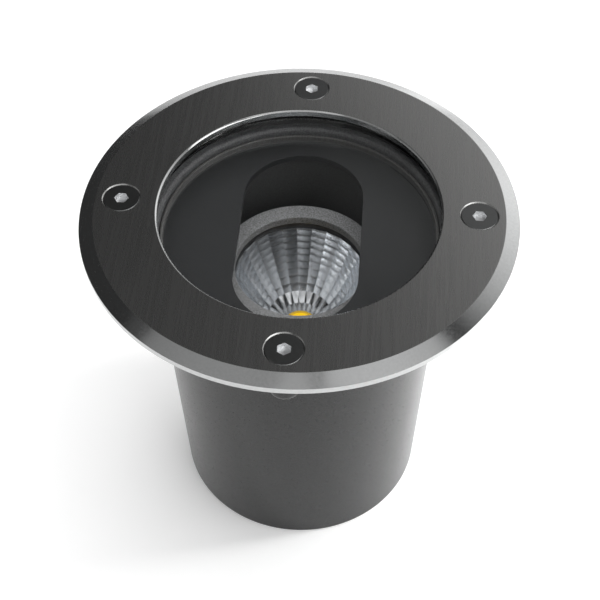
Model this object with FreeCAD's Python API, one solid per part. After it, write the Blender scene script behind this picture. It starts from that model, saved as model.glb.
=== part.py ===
import FreeCAD, Part
import math
import os

from FreeCAD import Vector

# In-ground well light. Millimetres, +Z up. The origin is the centre of the can's flat bottom.
# The baffle's slot runs along Y, and the lamp head tilts about X.

# ---- Driving sizes ----

# Lamp head
lamp_radius = 27.65
lamp_face_width = 5.85         # flat ring round the opening
lamp_face_thickness = 3.1
lamp_wall = 3.65
lamp_face_rise = 12.1          # face above the tilt axis
lamp_edge_chamfer = 0.4
tilt_range = 20.0              # degrees, each way

# Reflector: flat facets in columns and rows, then a steep neck down to the light source
facet_columns = 26
facet_rows = 10
reflector_lip = 2.0            # flange outside the mouth, as far as the barrel's bore
reflector_flange_thickness = 1.0
reflector_wall = 0.9
reflector_depth = 25.4         # mouth to circuit board
reflector_bowl_depth = 23.1    # mouth to the top of the neck
reflector_neck_radius = 7.3    # top of the neck
reflector_curve = 1.64         # power of the bowl's curve: 1 is a cone, 2 is a parabola
spacer_thickness = 2.3
spacer_width = 1.3

# Light source
phosphor_radius = 4.9
phosphor_thickness = 0.6
board_side = 14.5
board_thickness = 1.4
pad_thickness = 0.3
holder_radius = 17.0
holder_rim_thickness = 1.5     # above the board
holder_opening_radius = 9.0
holder_screw_edge = 3.2        # screw's axis to the holder's edge

# Heat sink
sink_step = 2.05               # inside the barrel's outer face
sink_base_thickness = 5.0
fin_count = 18
fin_thickness = 1.2
fin_length = 12.6
sink_core_radius = 8.0
barrel_boss_radius = 3.0
barrel_boss_inset = 1.5        # boss axis to the bore's wall
barrel_boss_height = 12.0
sink_screw_count = 3
sink_thread_depth = 10.5

# Yoke and pivots
pivot_pad_height = 0.25        # flat pad, proud of the barrel
pivot_pad_radius = 6.0
pivot_shoulder_radius = 2.5
pivot_thread_radius = 2.0
pivot_head_radius = 4.2
pivot_head_height = 2.4
pivot_head_chamfer = 0.5
pivot_socket_flats = 3.0
pivot_socket_depth = 1.2
friction_washer_thickness = 0.8
friction_washer_radius = 5.5
spring_washer_thickness = 0.6
spring_washer_radius = 4.6
yoke_thickness = 1.6
yoke_arm_width = 14.0
yoke_foot_width = 18.0
yoke_foot_reach = 9.7          # foot, outward from the arm's outer face
yoke_bend_radius = 1.0
stud_radius = 1.5
stud_spacing = 11.0
nut_across_flats = 5.5
nut_height = 2.4
nut_washer_radius = 3.5
nut_washer_thickness = 0.5

# Baffle plate
baffle_thickness = 2.3
baffle_rim_height = 2.5        # above the plate
baffle_rim_wall = 1.04
baffle_rim_chamfer = 0.3
baffle_foot_margin = 5.3       # yoke foot to the plate's edge
baffle_lamp_gap = 3.57         # above the tilted lamp's highest edge
slot_width = 40.0
slot_end_web = 6.96            # plate left between the slot's end and the rim
seat_width = 1.7               # shoulder under the plate's edge

# Glass and gasket
glass_thickness = 5.0
glass_bearing = 5.1            # glass under the ring, beyond the ring's bore
glass_chamfer = 0.5
gasket_lip_thickness = 0.6
gasket_lip_width = 1.8         # lip over the glass
gasket_wall = 2.2

# Trim ring
ring_thickness = 4.1
ring_lip_thickness = 2.4       # over the glass
ring_overhang = 0.4            # bore inside the can's throat
ring_bore_chamfer_width = 0.9
ring_bore_chamfer_depth = 0.7
ring_bevel_width = 4.6
ring_bevel_drop = 2.07
ring_seat_depth = 0.4          # flange let into the ring's underside
ring_rim_width = 12.95         # screw circle to the outer edge

# Cover screws: M6 countersunk, hexagon socket
screw_count = 4
screw_wall = 4.45              # glass pocket to the screw's axis
cover_shank_radius = 3.0
cover_head_radius = 5.9
cover_head_sink = 0.15         # head below the ring's face
cover_screw_length = 16.0
cover_socket_flats = 4.0
cover_socket_depth = 2.4

# Can
throat_depth = 7.0
throat_wall = 2.64
throat_edge_chamfer = 1.2
can_wall = 4.5
can_draft = 2.1                # degrees
can_floor = 4.0
can_foot_chamfer = 1.0
can_floor_chamfer = 1.5
ledge_thickness = 4.0
hub_wall = 3.4
flange_thickness = 5.4
flange_margin = 4.95           # screw circle to the flange's edge
screw_boss_radius = 5.3
screw_boss_length = 16.2       # below the flange's top face
screw_boss_round = 3.0         # lower end, in two flats
screw_boss_floor = 2.8
screw_web_thickness = 6.0
screw_web_drop = 4.8           # below the ledge's underside

# Control gear
post_radius = 4.0
post_height = 3.0
post_wall_gap = 2.1            # post to the can's wall
post_angles = (35.0, 145.0, 270.0)
tray_thickness = 1.2
tray_margin = 3.5              # post circle to the tray's edge
driver_length = 50.0
driver_width = 32.0
driver_height = 19.0
driver_lid_thickness = 2.0
driver_corner_round = 3.0
driver_centre_y = -6.0
driver_ear_length = 6.0
driver_ear_width = 10.0
driver_ear_thickness = 2.0
lamp_driver_gap = 13.0         # under the lamp's swing
terminal_pitch = 8.0
terminal_poles = 3
terminal_depth = 14.0
terminal_height = 13.0
terminal_gap = 4.0             # behind the driver
terminal_well_radius = 2.2
terminal_well_depth = 4.0
terminal_screw_height = 2.0
terminal_well_spacing = 7.0
terminal_wire_radius = 1.9
terminal_wire_rise = 4.3       # wire way's axis above the tray
terminal_fixing_rise = 6.5     # seat of the fixing screws above the tray
earth_x = 19.0
earth_y = 24.0
earth_washer_radius = 4.0
earth_washer_thickness = 0.8

# Small screws (M3)
small_shank_radius = 1.5
small_head_radius = 2.75
small_head_height = 1.5
small_socket_flats = 2.0
small_socket_depth = 1.0
small_thread_length = 6.0

# Cable gland (M16)
gland_height = 25.0            # axis above the can's bottom
gland_pad_radius = 12.5
gland_pad_rise = 2.5           # pad's face beyond the can's wall
gland_thread_radius = 8.0
gland_thread_length = 6.0
gland_washer_thickness = 1.0
gland_washer_radius = 10.8
gland_flats = 20.0
gland_collar_length = 4.0
gland_stub_length = 8.0
gland_bore_radius = 4.6
seal_bore_radius = 4.0
seal_outer_radius = 6.2
seal_length = 6.5
seal_stand_out = 0.5           # seal past the stub's end
cap_gap = 0.5                  # collar to cap
cap_hex_length = 8.0
cap_nose_length = 3.5
cap_nose_radius = 7.5
cap_mouth_radius = 5.0

# Fits
swivel_clearance = 0.3
pivot_clearance = 0.06
thread_clearance = 0.05
hole_clearance = 0.3
part_clearance = 0.2
gasket_clearance = 0.1

# ---- Levels and radii that follow ----

lamp_bore_radius = lamp_radius - lamp_wall
lamp_opening_radius = lamp_radius - lamp_face_width
reflector_mouth_radius = lamp_bore_radius - reflector_lip
sink_radius = lamp_radius - sink_step
sink_screw_radius = lamp_bore_radius - barrel_boss_inset
holder_screw_radius = holder_radius - holder_screw_edge
barrel_length = (
    lamp_face_thickness + spacer_thickness + reflector_depth + board_thickness + pad_thickness
)
sink_drop = barrel_length + sink_base_thickness + fin_length - lamp_face_rise
lamp_swing_radius = math.hypot(sink_radius, sink_drop)
tilt_angle = math.radians(tilt_range)
face_swing_height = lamp_face_rise * math.cos(tilt_angle) + lamp_radius * math.sin(tilt_angle)

post_top_z = can_floor + post_height
tray_top_z = post_top_z + tray_thickness
driver_top_z = tray_top_z + driver_height + driver_lid_thickness
tilt_axis_z = driver_top_z + lamp_driver_gap + lamp_swing_radius
lamp_face_z = tilt_axis_z + lamp_face_rise
mouth_z = lamp_face_z - lamp_face_thickness - spacer_thickness
board_top_z = mouth_z - reflector_depth
sink_top_z = board_top_z - board_thickness - pad_thickness
sink_base_z = sink_top_z - sink_base_thickness

shoulder_z = tilt_axis_z + face_swing_height + baffle_lamp_gap
baffle_top_z = shoulder_z + baffle_thickness
ledge_z = shoulder_z + throat_depth
glass_z = ledge_z + gasket_lip_thickness
glass_top_z = glass_z + glass_thickness
ring_seat_z = glass_top_z + gasket_lip_thickness
ring_top_z = ring_seat_z + ring_lip_thickness
ring_rim_z = ring_top_z - ring_thickness
flange_top_z = ring_rim_z + ring_seat_depth
hub_z = ledge_z - ledge_thickness

pivot_pad_x = lamp_radius + pivot_pad_height
yoke_inner_x = pivot_pad_x + friction_washer_thickness
yoke_outer_x = yoke_inner_x + yoke_thickness
yoke_foot_x = yoke_outer_x + yoke_foot_reach
stud_x = yoke_outer_x + yoke_foot_reach / 2 + part_clearance
baffle_radius = yoke_foot_x + baffle_foot_margin
throat_radius = baffle_radius + swivel_clearance
shoulder_radius = baffle_radius - seat_width
ring_bore_radius = throat_radius - ring_overhang
can_top_radius = throat_radius + throat_wall
glass_radius = ring_bore_radius + glass_bearing
pocket_radius = glass_radius + gasket_wall + gasket_clearance
hub_radius = pocket_radius + hub_wall
screw_circle = pocket_radius + screw_wall
flange_radius = screw_circle + flange_margin
ring_radius = screw_circle + ring_rim_width

driver_back_y = driver_centre_y + driver_width / 2
terminal_centre_y = driver_back_y + terminal_gap + terminal_depth / 2


def can_radius(z):
    """Outer radius of the tapered can at a height."""
    return can_top_radius - (hub_z - z) * math.tan(math.radians(can_draft))


def well_radius(z):
    """Inner radius of the can's tapered well at a height."""
    return shoulder_radius - (shoulder_z - z) * math.tan(math.radians(can_draft))


post_circle_radius = well_radius(can_floor) - post_wall_gap - post_radius

gland_pad_y = can_radius(gland_height) + gland_pad_rise
collar_y = gland_pad_y + gland_washer_thickness
stub_y = collar_y + gland_collar_length
stub_end_y = stub_y + gland_stub_length
cap_y = stub_y + cap_gap
cap_end_y = cap_y + cap_hex_length + cap_nose_length


# ---- Shape helpers ----


def polar(radius, degrees):
    """X and Y of a point on a circle about the Z axis."""
    angle = math.radians(degrees)
    return radius * math.cos(angle), radius * math.sin(angle)


def spread(count, start=0.0):
    """Evenly spaced angles round a circle, in degrees."""
    return [start + 360.0 * index / count for index in range(count)]


def rounded_wire(corners):
    """Closed wire in the XZ plane from (x, z, corner radius)."""
    points = [Vector(x, 0, z) for x, z, _ in corners]
    edges = []
    joints = []
    for index, (point, corner) in enumerate(zip(points, corners)):
        before = (points[index - 1] - point).normalize()
        after = (points[(index + 1) % len(points)] - point).normalize()
        if corner[2] == 0:
            joints.append((point, point))
            continue
        half = before.getAngle(after) / 2
        reach = corner[2] / math.tan(half)
        middle = (before + after).normalize() * (corner[2] / math.sin(half) - corner[2])
        start = point + before * reach
        end = point + after * reach
        joints.append((start, end))
        edges.append(Part.Arc(start, point + middle, end).toShape())
    for index, (_, end) in enumerate(joints):
        start = joints[(index + 1) % len(joints)][0]
        edges.append(Part.makeLine(end, start))
    return Part.Wire(Part.__sortEdges__(edges))


def turned(corners):
    """Solid of revolution about Z from (radius, z, corner radius)."""
    face = Part.Face(rounded_wire(corners))
    return face.revolve(Vector(0, 0, 0), Vector(0, 0, 1), 360)


def disc(radius, z, height, x=0.0, y=0.0):
    """Upright cylinder with its lower face at z."""
    return Part.makeCylinder(radius, height, Vector(x, y, z))


def tube(outer, inner, z, height, x=0.0, y=0.0):
    """Upright ring with its lower face at z."""
    return disc(outer, z, height, x, y).cut(disc(inner, z, height, x, y))


def block(length, width, height, centre_x, centre_y, z):
    """Box centred in X and Y, with its lower face at z."""
    corner = Vector(centre_x - length / 2, centre_y - width / 2, z)
    return Part.makeBox(length, width, height, corner)


def upright_edges(box):
    """The four upright edges of a box."""
    return [edge for edge in box.Edges if edge.BoundBox.ZLength > edge.Length / 2]


def hexagon(across_flats, z, height, x=0.0, y=0.0):
    """Hexagonal prism with two corners along X."""
    radius = across_flats / math.sqrt(3)
    corners = [Vector(x + polar(radius, a)[0], y + polar(radius, a)[1], z) for a in spread(6)]
    wire = Part.makePolygon(corners + corners[:1])
    return Part.Face(wire).extrude(Vector(0, 0, height))


def fused(shapes):
    """One solid from several that meet."""
    return shapes[0].multiFuse(shapes[1:]).removeSplitter()


def moved(shape, x=0.0, y=0.0, z=0.0):
    """Copy of a shape, moved."""
    copy = shape.copy()
    copy.translate(Vector(x, y, z))
    return copy


def turned_about(shape, axis, degrees):
    """Copy of a shape, turned about an axis through the origin."""
    copy = shape.copy()
    copy.rotate(Vector(0, 0, 0), axis, degrees)
    return copy


def pan_screw(length):
    """M3 socket screw: head's underside at z = 0, thread down to -length."""
    head = disc(small_head_radius, 0, small_head_height)
    socket_z = small_head_height - small_socket_depth
    socket = hexagon(small_socket_flats, socket_z, small_socket_depth)
    return head.fuse(disc(small_shank_radius, -length, length)).cut(socket)


def tapped_hole(x, y, top_z, depth):
    """Hole for an M3 thread."""
    return disc(small_shank_radius + thread_clearance, top_z - depth, depth, x, y)


def clearance_hole(x, y, z, height):
    """Hole that an M3 screw passes through."""
    return disc(small_shank_radius + part_clearance, z, height, x, y)


# ---- Can ----


def can_outside():
    """Can, hub and flange before they are hollowed."""
    flange_z = flange_top_z - flange_thickness
    foot = can_foot_chamfer
    return turned([
        (0, 0, 0),
        (can_radius(0) - foot, 0, 0),
        (can_radius(foot), foot, 0),
        (can_radius(hub_z), hub_z, 0),
        (hub_radius, hub_z, 0),
        (hub_radius, flange_z, 0),
        (flange_radius, flange_z, 0),
        (flange_radius, flange_top_z, 0),
        (0, flange_top_z, 0),
    ])


def can_inside():
    """Space inside: glass pocket, throat, shoulder and tapered well."""
    corner_z = can_floor + can_floor_chamfer
    return turned([
        (0, can_floor, 0),
        (well_radius(can_floor) - can_floor_chamfer, can_floor, 0),
        (well_radius(corner_z), corner_z, 0),
        (shoulder_radius, shoulder_z, 0),
        (throat_radius, shoulder_z, 0),
        (throat_radius, ledge_z - throat_edge_chamfer, 0),
        (throat_radius + throat_edge_chamfer, ledge_z, 0),
        (pocket_radius, ledge_z, 0),
        (pocket_radius, flange_top_z, 0),
        (0, flange_top_z, 0),
    ])


def screw_boss():
    """Round-ended boss under the flange, with the web that joins it to the can."""
    bottom_z = flange_top_z - screw_boss_length
    corner = screw_boss_round * (1 - math.cos(math.radians(45)))
    boss = turned([
        (0, bottom_z, 0),
        (screw_boss_radius - screw_boss_round, bottom_z, 0),
        (screw_boss_radius - corner, bottom_z + corner, 0),
        (screw_boss_radius, bottom_z + screw_boss_round, 0),
        (screw_boss_radius, flange_top_z, 0),
        (0, flange_top_z, 0),
    ])
    web_z = hub_z - screw_web_drop
    web_start = can_radius(web_z) - can_wall / 2
    web_length = screw_circle - web_start
    web_height = hub_z - web_z + ledge_thickness / 2
    web = block(web_length, screw_web_thickness, web_height, web_start + web_length / 2, 0, web_z)
    return moved(boss, x=screw_circle).fuse(web)


def screw_boss_hole():
    """Tapped hole down a boss."""
    depth = screw_boss_length - screw_boss_floor
    radius = cover_shank_radius + thread_clearance
    return disc(radius, flange_top_z - depth, depth, x=screw_circle)


def along_y(shape, y, z):
    """Shape made on the Z axis, laid along +Y from y at height z."""
    return moved(turned_about(shape, Vector(1, 0, 0), -90), y=y, z=z)


def housing():
    """Die-cast can with its flange, bosses, floor posts and gland pad."""
    bosses = [turned_about(screw_boss(), Vector(0, 0, 1), a) for a in spread(screw_count)]
    pad_start = can_radius(gland_height) - can_wall
    pad = along_y(disc(gland_pad_radius, 0, gland_pad_y - pad_start), pad_start, gland_height)
    body = fused([can_outside(), pad] + bosses)
    body = body.cut(can_inside())
    posts = []
    holes = []
    for angle in post_angles:
        x, y = polar(post_circle_radius, angle)
        posts.append(disc(post_radius, can_floor / 2, post_top_z - can_floor / 2, x, y))
        holes.append(tapped_hole(x, y, post_top_z, small_thread_length))
    body = fused([body] + posts)
    holes += [turned_about(screw_boss_hole(), Vector(0, 0, 1), a) for a in spread(screw_count)]
    gland_hole = disc(gland_thread_radius + thread_clearance, 0, gland_pad_y - pad_start / 2)
    holes.append(along_y(gland_hole, pad_start / 2, gland_height))
    return body.cut(Part.makeCompound(holes))


# ---- Trim ring, screws, glass and gasket ----


def head_cone(extra):
    """Countersink or screw head, wider than the head by extra, closing to a point."""
    radius = cover_head_radius + extra
    top_z = ring_top_z - cover_head_sink
    return Part.makeCone(0, radius, radius, Vector(screw_circle, 0, top_z - radius))


def trim_ring():
    """Bevelled ring with four countersunk holes, recessed over the flange and the glass."""
    recess_radius = pocket_radius + hole_clearance
    seat_radius = max(flange_radius, screw_circle + screw_boss_radius) + part_clearance
    body = turned([
        (ring_bore_radius, ring_seat_z, 0),
        (ring_bore_radius, ring_top_z - ring_bore_chamfer_depth, 0),
        (ring_bore_radius + ring_bore_chamfer_width, ring_top_z, 0),
        (ring_radius - ring_bevel_width, ring_top_z, 0),
        (ring_radius, ring_top_z - ring_bevel_drop, 0),
        (ring_radius, ring_rim_z, 0),
        (seat_radius, ring_rim_z, 0),
        (seat_radius, flange_top_z, 0),
        (recess_radius, flange_top_z, 0),
        (recess_radius, ring_seat_z, 0),
    ])
    sink = head_cone(part_clearance)
    head_z = ring_top_z - cover_head_sink
    mouth = disc(cover_head_radius + part_clearance, head_z, cover_head_sink, screw_circle)
    bore = disc(cover_shank_radius + hole_clearance, flange_top_z, ring_thickness, screw_circle)
    hole = fused([sink, mouth, bore])
    holes = [turned_about(hole, Vector(0, 0, 1), a) for a in spread(screw_count)]
    return body.cut(Part.makeCompound(holes))


def cover_screws():
    """Countersunk screws, flush with the ring."""
    top_z = ring_top_z - cover_head_sink
    shank = disc(cover_shank_radius, top_z - cover_screw_length, cover_screw_length, screw_circle)
    head = head_cone(0)
    socket_z = top_z - cover_socket_depth
    socket = hexagon(cover_socket_flats, socket_z, cover_socket_depth, screw_circle)
    screw = fused([head, shank]).cut(socket)
    return Part.makeCompound([turned_about(screw, Vector(0, 0, 1), a) for a in spread(screw_count)])


def glass_lens():
    """Clear disc with broken edges."""
    edge = glass_radius - glass_chamfer
    return turned([
        (0, glass_z, 0),
        (edge, glass_z, 0),
        (glass_radius, glass_z + glass_chamfer, 0),
        (glass_radius, glass_top_z - glass_chamfer, 0),
        (edge, glass_top_z, 0),
        (0, glass_top_z, 0),
    ])


def glass_gasket():
    """U-section seal round the edge of the glass."""
    outer = glass_radius + gasket_wall
    inner = glass_radius - gasket_lip_width
    web = glass_radius + gasket_clearance / 2
    return turned([
        (inner, ledge_z, 0),
        (outer, ledge_z, 0),
        (outer, ring_seat_z, 0),
        (inner, ring_seat_z, 0),
        (inner, glass_top_z, 0),
        (web, glass_top_z, 0),
        (web, glass_z, 0),
        (inner, glass_z, 0),
    ])


# ---- Cable gland ----


def gland_body():
    """Threaded body with a hexagonal collar."""
    length = gland_thread_length + gland_washer_thickness
    thread = disc(gland_thread_radius, -length, length)
    collar = hexagon(gland_flats, 0, gland_collar_length)
    stub = disc(gland_thread_radius, gland_collar_length, gland_stub_length)
    total = length + gland_collar_length + gland_stub_length
    bore = disc(gland_bore_radius, -length, total)
    seal_length_inside = seal_length - seal_stand_out
    seal_seat = disc(
        seal_outer_radius + gasket_clearance,
        gland_collar_length + gland_stub_length - seal_length_inside,
        seal_length_inside,
    )
    return along_y(fused([thread, collar, stub]).cut(bore.fuse(seal_seat)), collar_y, gland_height)


def gland_washer():
    """Flat sealing washer between the pad and the collar."""
    inner = gland_thread_radius + thread_clearance
    ring = tube(gland_washer_radius, inner, 0, gland_washer_thickness)
    return along_y(ring, gland_pad_y, gland_height)


def gland_seal():
    """Rubber sleeve that grips the cable."""
    sleeve = tube(seal_outer_radius, seal_bore_radius, 0, seal_length)
    return along_y(sleeve, stub_end_y + seal_stand_out - seal_length, gland_height)


def gland_cap():
    """Hexagonal nut with a tapering nose."""
    hex_part = hexagon(gland_flats, 0, cap_hex_length)
    nose = Part.makeCone(
        gland_flats / 2, cap_nose_radius, cap_nose_length, Vector(0, 0, cap_hex_length)
    )
    thread = disc(gland_thread_radius + thread_clearance, 0, cap_hex_length)
    mouth = disc(cap_mouth_radius, 0, cap_hex_length + cap_nose_length)
    return along_y(fused([hex_part, nose]).cut(thread.fuse(mouth)), cap_y, gland_height)


# ---- Control gear ----


def gear_tray():
    """Steel disc on the floor posts."""
    body = disc(post_circle_radius + tray_margin, post_top_z, tray_thickness)
    holes = []
    for angle in post_angles:
        x, y = polar(post_circle_radius, angle)
        holes.append(clearance_hole(x, y, post_top_z, tray_thickness))
    for x, y in driver_screw_places() + terminal_fixing_places() + [(earth_x, earth_y)]:
        holes.append(tapped_hole(x, y, tray_top_z, tray_thickness))
    return body.cut(Part.makeCompound(holes))


def screws_at(places, z, length):
    """Group of M3 screws, heads up."""
    return Part.makeCompound([moved(pan_screw(length), x, y, z) for x, y in places])


def tray_screws():
    """Screws that hold the tray on its posts."""
    places = [polar(post_circle_radius, angle) for angle in post_angles]
    return screws_at(places, tray_top_z, small_thread_length)


def driver_screw_places():
    """Centres of the driver's two ears."""
    x = driver_length / 2 + driver_ear_length / 2
    return [(-x, driver_centre_y), (x, driver_centre_y)]


def driver_case():
    """Potted driver in a closed case with a fixing ear at each end."""
    case = block(driver_length, driver_width, driver_height, 0, driver_centre_y, tray_top_z)
    case = case.makeFillet(driver_corner_round, upright_edges(case))
    ears_length = driver_length + 2 * driver_ear_length
    ears = block(
        ears_length, driver_ear_width, driver_ear_thickness, 0, driver_centre_y, tray_top_z
    )
    holes = [
        clearance_hole(x, y, tray_top_z, driver_ear_thickness) for x, y in driver_screw_places()
    ]
    return fused([case, ears]).cut(Part.makeCompound(holes))


def driver_lid():
    """Lid on the driver's case."""
    z = tray_top_z + driver_height
    lid = block(driver_length, driver_width, driver_lid_thickness, 0, driver_centre_y, z)
    return lid.makeFillet(driver_corner_round, upright_edges(lid))


def driver_screws():
    """Screws through the driver's ears."""
    z = tray_top_z + driver_ear_thickness
    length = driver_ear_thickness + tray_thickness
    return screws_at(driver_screw_places(), z, length)


def pole_places():
    """X of each terminal."""
    first = -(terminal_poles - 1) / 2 * terminal_pitch
    return [first + index * terminal_pitch for index in range(terminal_poles)]


def terminal_screw_places():
    """Two clamping screws for each pole."""
    reach = terminal_well_spacing / 2
    return [(x, terminal_centre_y + side * reach) for x in pole_places() for side in (-1, 1)]


def terminal_fixing_places():
    """Screws between the poles that hold the block down."""
    xs = pole_places()
    middles = [(left + right) / 2 for left, right in zip(xs, xs[1:])]
    return [(x, terminal_centre_y) for x in middles]


def terminal_block():
    """Block with a wire way and two screw wells for each pole."""
    top_z = tray_top_z + terminal_height
    body = block(
        terminal_pitch * terminal_poles, terminal_depth, terminal_height, 0, terminal_centre_y,
        tray_top_z,
    )
    cuts = []
    for x in pole_places():
        way = disc(terminal_wire_radius, 0, terminal_depth)
        way = along_y(way, terminal_centre_y - terminal_depth / 2, tray_top_z + terminal_wire_rise)
        cuts.append(moved(way, x=x))
    for x, y in terminal_screw_places():
        cuts.append(disc(terminal_well_radius, top_z - terminal_well_depth, terminal_well_depth, x, y))
    fixing_z = tray_top_z + terminal_fixing_rise
    for x, y in terminal_fixing_places():
        cuts.append(clearance_hole(x, y, tray_top_z, terminal_height))
        head = small_head_radius + part_clearance
        cuts.append(disc(head, fixing_z, top_z - fixing_z, x, y))
    return body.cut(Part.makeCompound(cuts))


def terminal_screws():
    """Clamping screws in their wells."""
    z = tray_top_z + terminal_height - terminal_well_depth
    radius = terminal_well_radius - part_clearance
    places = terminal_screw_places()
    return Part.makeCompound([disc(radius, z, terminal_screw_height, x, y) for x, y in places])


def terminal_fixings():
    """Screws that hold the terminal block on the tray."""
    z = tray_top_z + terminal_fixing_rise
    length = terminal_fixing_rise + tray_thickness
    return screws_at(terminal_fixing_places(), z, length)


def earth_washer():
    """Washer under the earth screw."""
    inner = small_shank_radius + part_clearance
    return tube(
        earth_washer_radius, inner, tray_top_z, earth_washer_thickness, earth_x, earth_y
    )


def earth_screw():
    """Earth screw in the tray."""
    z = tray_top_z + earth_washer_thickness
    return moved(pan_screw(earth_washer_thickness + tray_thickness), earth_x, earth_y, z)


# ---- Turning insert: baffle plate and yoke ----


def slot_cut():
    """Round-ended slot along Y."""
    radius = slot_width / 2
    end = baffle_radius - baffle_rim_wall - slot_end_web
    reach = end - radius
    straight = block(slot_width, 2 * reach, baffle_thickness, 0, 0, shoulder_z)
    ends = [disc(radius, shoulder_z, baffle_thickness, y=side * reach) for side in (-1, 1)]
    return fused([straight] + ends)


def stud_places():
    """Centres of the four studs."""
    return [(sx * stud_x, sy * stud_spacing / 2) for sx in (-1, 1) for sy in (-1, 1)]


def baffle_plate():
    """Slotted plate with an upright rim and four studs underneath."""
    rim_z = baffle_top_z + baffle_rim_height
    rim_inner = baffle_radius - baffle_rim_wall
    body = turned([
        (0, shoulder_z, 0),
        (baffle_radius, shoulder_z, 0),
        (baffle_radius, rim_z - baffle_rim_chamfer, 0),
        (baffle_radius - baffle_rim_chamfer, rim_z, 0),
        (rim_inner + baffle_rim_chamfer, rim_z, 0),
        (rim_inner, rim_z - baffle_rim_chamfer, 0),
        (rim_inner, baffle_top_z, 0),
        (0, baffle_top_z, 0),
    ])
    body = body.cut(slot_cut())
    length = yoke_thickness + nut_washer_thickness + nut_height
    studs = [disc(stud_radius, shoulder_z - length, length, x, y) for x, y in stud_places()]
    return fused([body] + studs)


def yoke_arm(side):
    """Bent strip: a foot under the baffle and an arm down to the pivot."""
    section = rounded_wire([
        (yoke_inner_x, shoulder_z, yoke_bend_radius + yoke_thickness),
        (yoke_foot_x, shoulder_z, 0),
        (yoke_foot_x, shoulder_z - yoke_thickness, 0),
        (yoke_outer_x, shoulder_z - yoke_thickness, yoke_bend_radius),
        (yoke_outer_x, tilt_axis_z - yoke_arm_width / 2, 0),
        (yoke_inner_x, tilt_axis_z - yoke_arm_width / 2, 0),
    ])
    strip = Part.Face(section).extrude(Vector(0, yoke_foot_width, 0))
    strip = moved(strip, y=-yoke_foot_width / 2)
    height = shoulder_z - tilt_axis_z
    arm_area = block(yoke_thickness, yoke_arm_width, height, 0, 0, tilt_axis_z)
    arm_area = moved(arm_area, x=(yoke_inner_x + yoke_outer_x) / 2)
    end = Part.makeCylinder(
        yoke_arm_width / 2, yoke_thickness, Vector(yoke_inner_x, 0, tilt_axis_z), Vector(1, 0, 0)
    )
    foot_depth = yoke_thickness + yoke_bend_radius
    foot_length = yoke_foot_x - yoke_inner_x
    foot_area = block(
        foot_length, yoke_foot_width, foot_depth, yoke_inner_x + foot_length / 2, 0,
        shoulder_z - foot_depth,
    )
    strip = strip.common(fused([arm_area, end, foot_area]))
    bore = Part.makeCylinder(
        pivot_shoulder_radius + pivot_clearance, yoke_thickness,
        Vector(yoke_inner_x, 0, tilt_axis_z), Vector(1, 0, 0),
    )
    holes = [bore]
    for y in (-stud_spacing / 2, stud_spacing / 2):
        radius = stud_radius + part_clearance
        holes.append(disc(radius, shoulder_z - yoke_thickness, yoke_thickness, stud_x, y))
    arm = strip.cut(Part.makeCompound(holes))
    return turned_about(arm, Vector(0, 0, 1), 0 if side > 0 else 180)


def yoke_washers():
    """Washers under the yoke's nuts."""
    z = shoulder_z - yoke_thickness - nut_washer_thickness
    inner = stud_radius + part_clearance
    rings = [
        tube(nut_washer_radius, inner, z, nut_washer_thickness, x, y) for x, y in stud_places()
    ]
    return Part.makeCompound(rings)


def yoke_nuts():
    """Nuts on the studs."""
    z = shoulder_z - yoke_thickness - nut_washer_thickness - nut_height
    nuts = []
    for x, y in stud_places():
        bore = disc(stud_radius + thread_clearance, z, nut_height, x, y)
        nuts.append(hexagon(nut_across_flats, z, nut_height, x, y).cut(bore))
    return Part.makeCompound(nuts)


# ---- Lamp head ----


def along_x(shape, x):
    """Shape made on the Z axis, laid along +X from x on the tilt axis."""
    return moved(turned_about(shape, Vector(0, 1, 0), 90), x=x, z=tilt_axis_z)


def both_sides(shape):
    """A piece and its twin on the other side."""
    return Part.makeCompound([shape, turned_about(shape, Vector(0, 0, 1), 180)])


def sink_screw_places():
    """Centres of the heat sink's screws, midway between fins."""
    return [polar(sink_screw_radius, angle) for angle in spread(sink_screw_count, 90.0)]


def lamp_barrel():
    """Die-cast barrel with a flat face ring, pivot pads and bosses for the heat sink."""
    edge = lamp_radius - lamp_edge_chamfer
    outside = turned([
        (0, sink_top_z, 0),
        (edge, sink_top_z, 0),
        (lamp_radius, sink_top_z + lamp_edge_chamfer, 0),
        (lamp_radius, lamp_face_z - lamp_edge_chamfer, 0),
        (edge, lamp_face_z, 0),
        (0, lamp_face_z, 0),
    ])
    bore_height = barrel_length - lamp_face_thickness
    bore = disc(lamp_bore_radius, sink_top_z, bore_height)
    bore = turned_about(bore, Vector(0, 0, 1), 45)  # its seam stands clear of the pivot holes
    mouth = disc(lamp_opening_radius, lamp_face_z - lamp_face_thickness, lamp_face_thickness)
    pad_start = lamp_radius - lamp_wall / 2
    pad = along_x(disc(pivot_pad_radius, 0, pivot_pad_x - pad_start), pad_start)
    pads = both_sides(pad).Solids
    body = fused([outside] + pads).cut(bore).cut(mouth)
    bosses = []
    holes = []
    for x, y in sink_screw_places():
        bosses.append(disc(barrel_boss_radius, sink_top_z, barrel_boss_height, x, y))
        holes.append(tapped_hole(x, y, sink_top_z + sink_thread_depth, sink_thread_depth))
    body = fused([body] + bosses)
    pivot_depth = lamp_wall + pivot_pad_height
    pivot = disc(pivot_thread_radius + thread_clearance, 0, pivot_depth)
    holes += both_sides(along_x(pivot, pivot_pad_x - pivot_depth)).Solids
    return body.cut(Part.makeCompound(holes))


def bowl_profile():
    """Radius and height of the reflector's rings of corners, mouth first."""
    rings = []
    for row in range(facet_rows + 1):
        share = row / facet_rows
        widening = (reflector_mouth_radius - reflector_neck_radius) * (1 - share) ** (1 / reflector_curve)
        rings.append((reflector_neck_radius + widening, mouth_z - reflector_bowl_depth * share))
    rings.append((phosphor_radius + part_clearance, board_top_z))
    return rings


def polygon(corners):
    """Flat face with these corners."""
    return Part.Face(Part.makePolygon(corners + corners[:1]))


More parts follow.
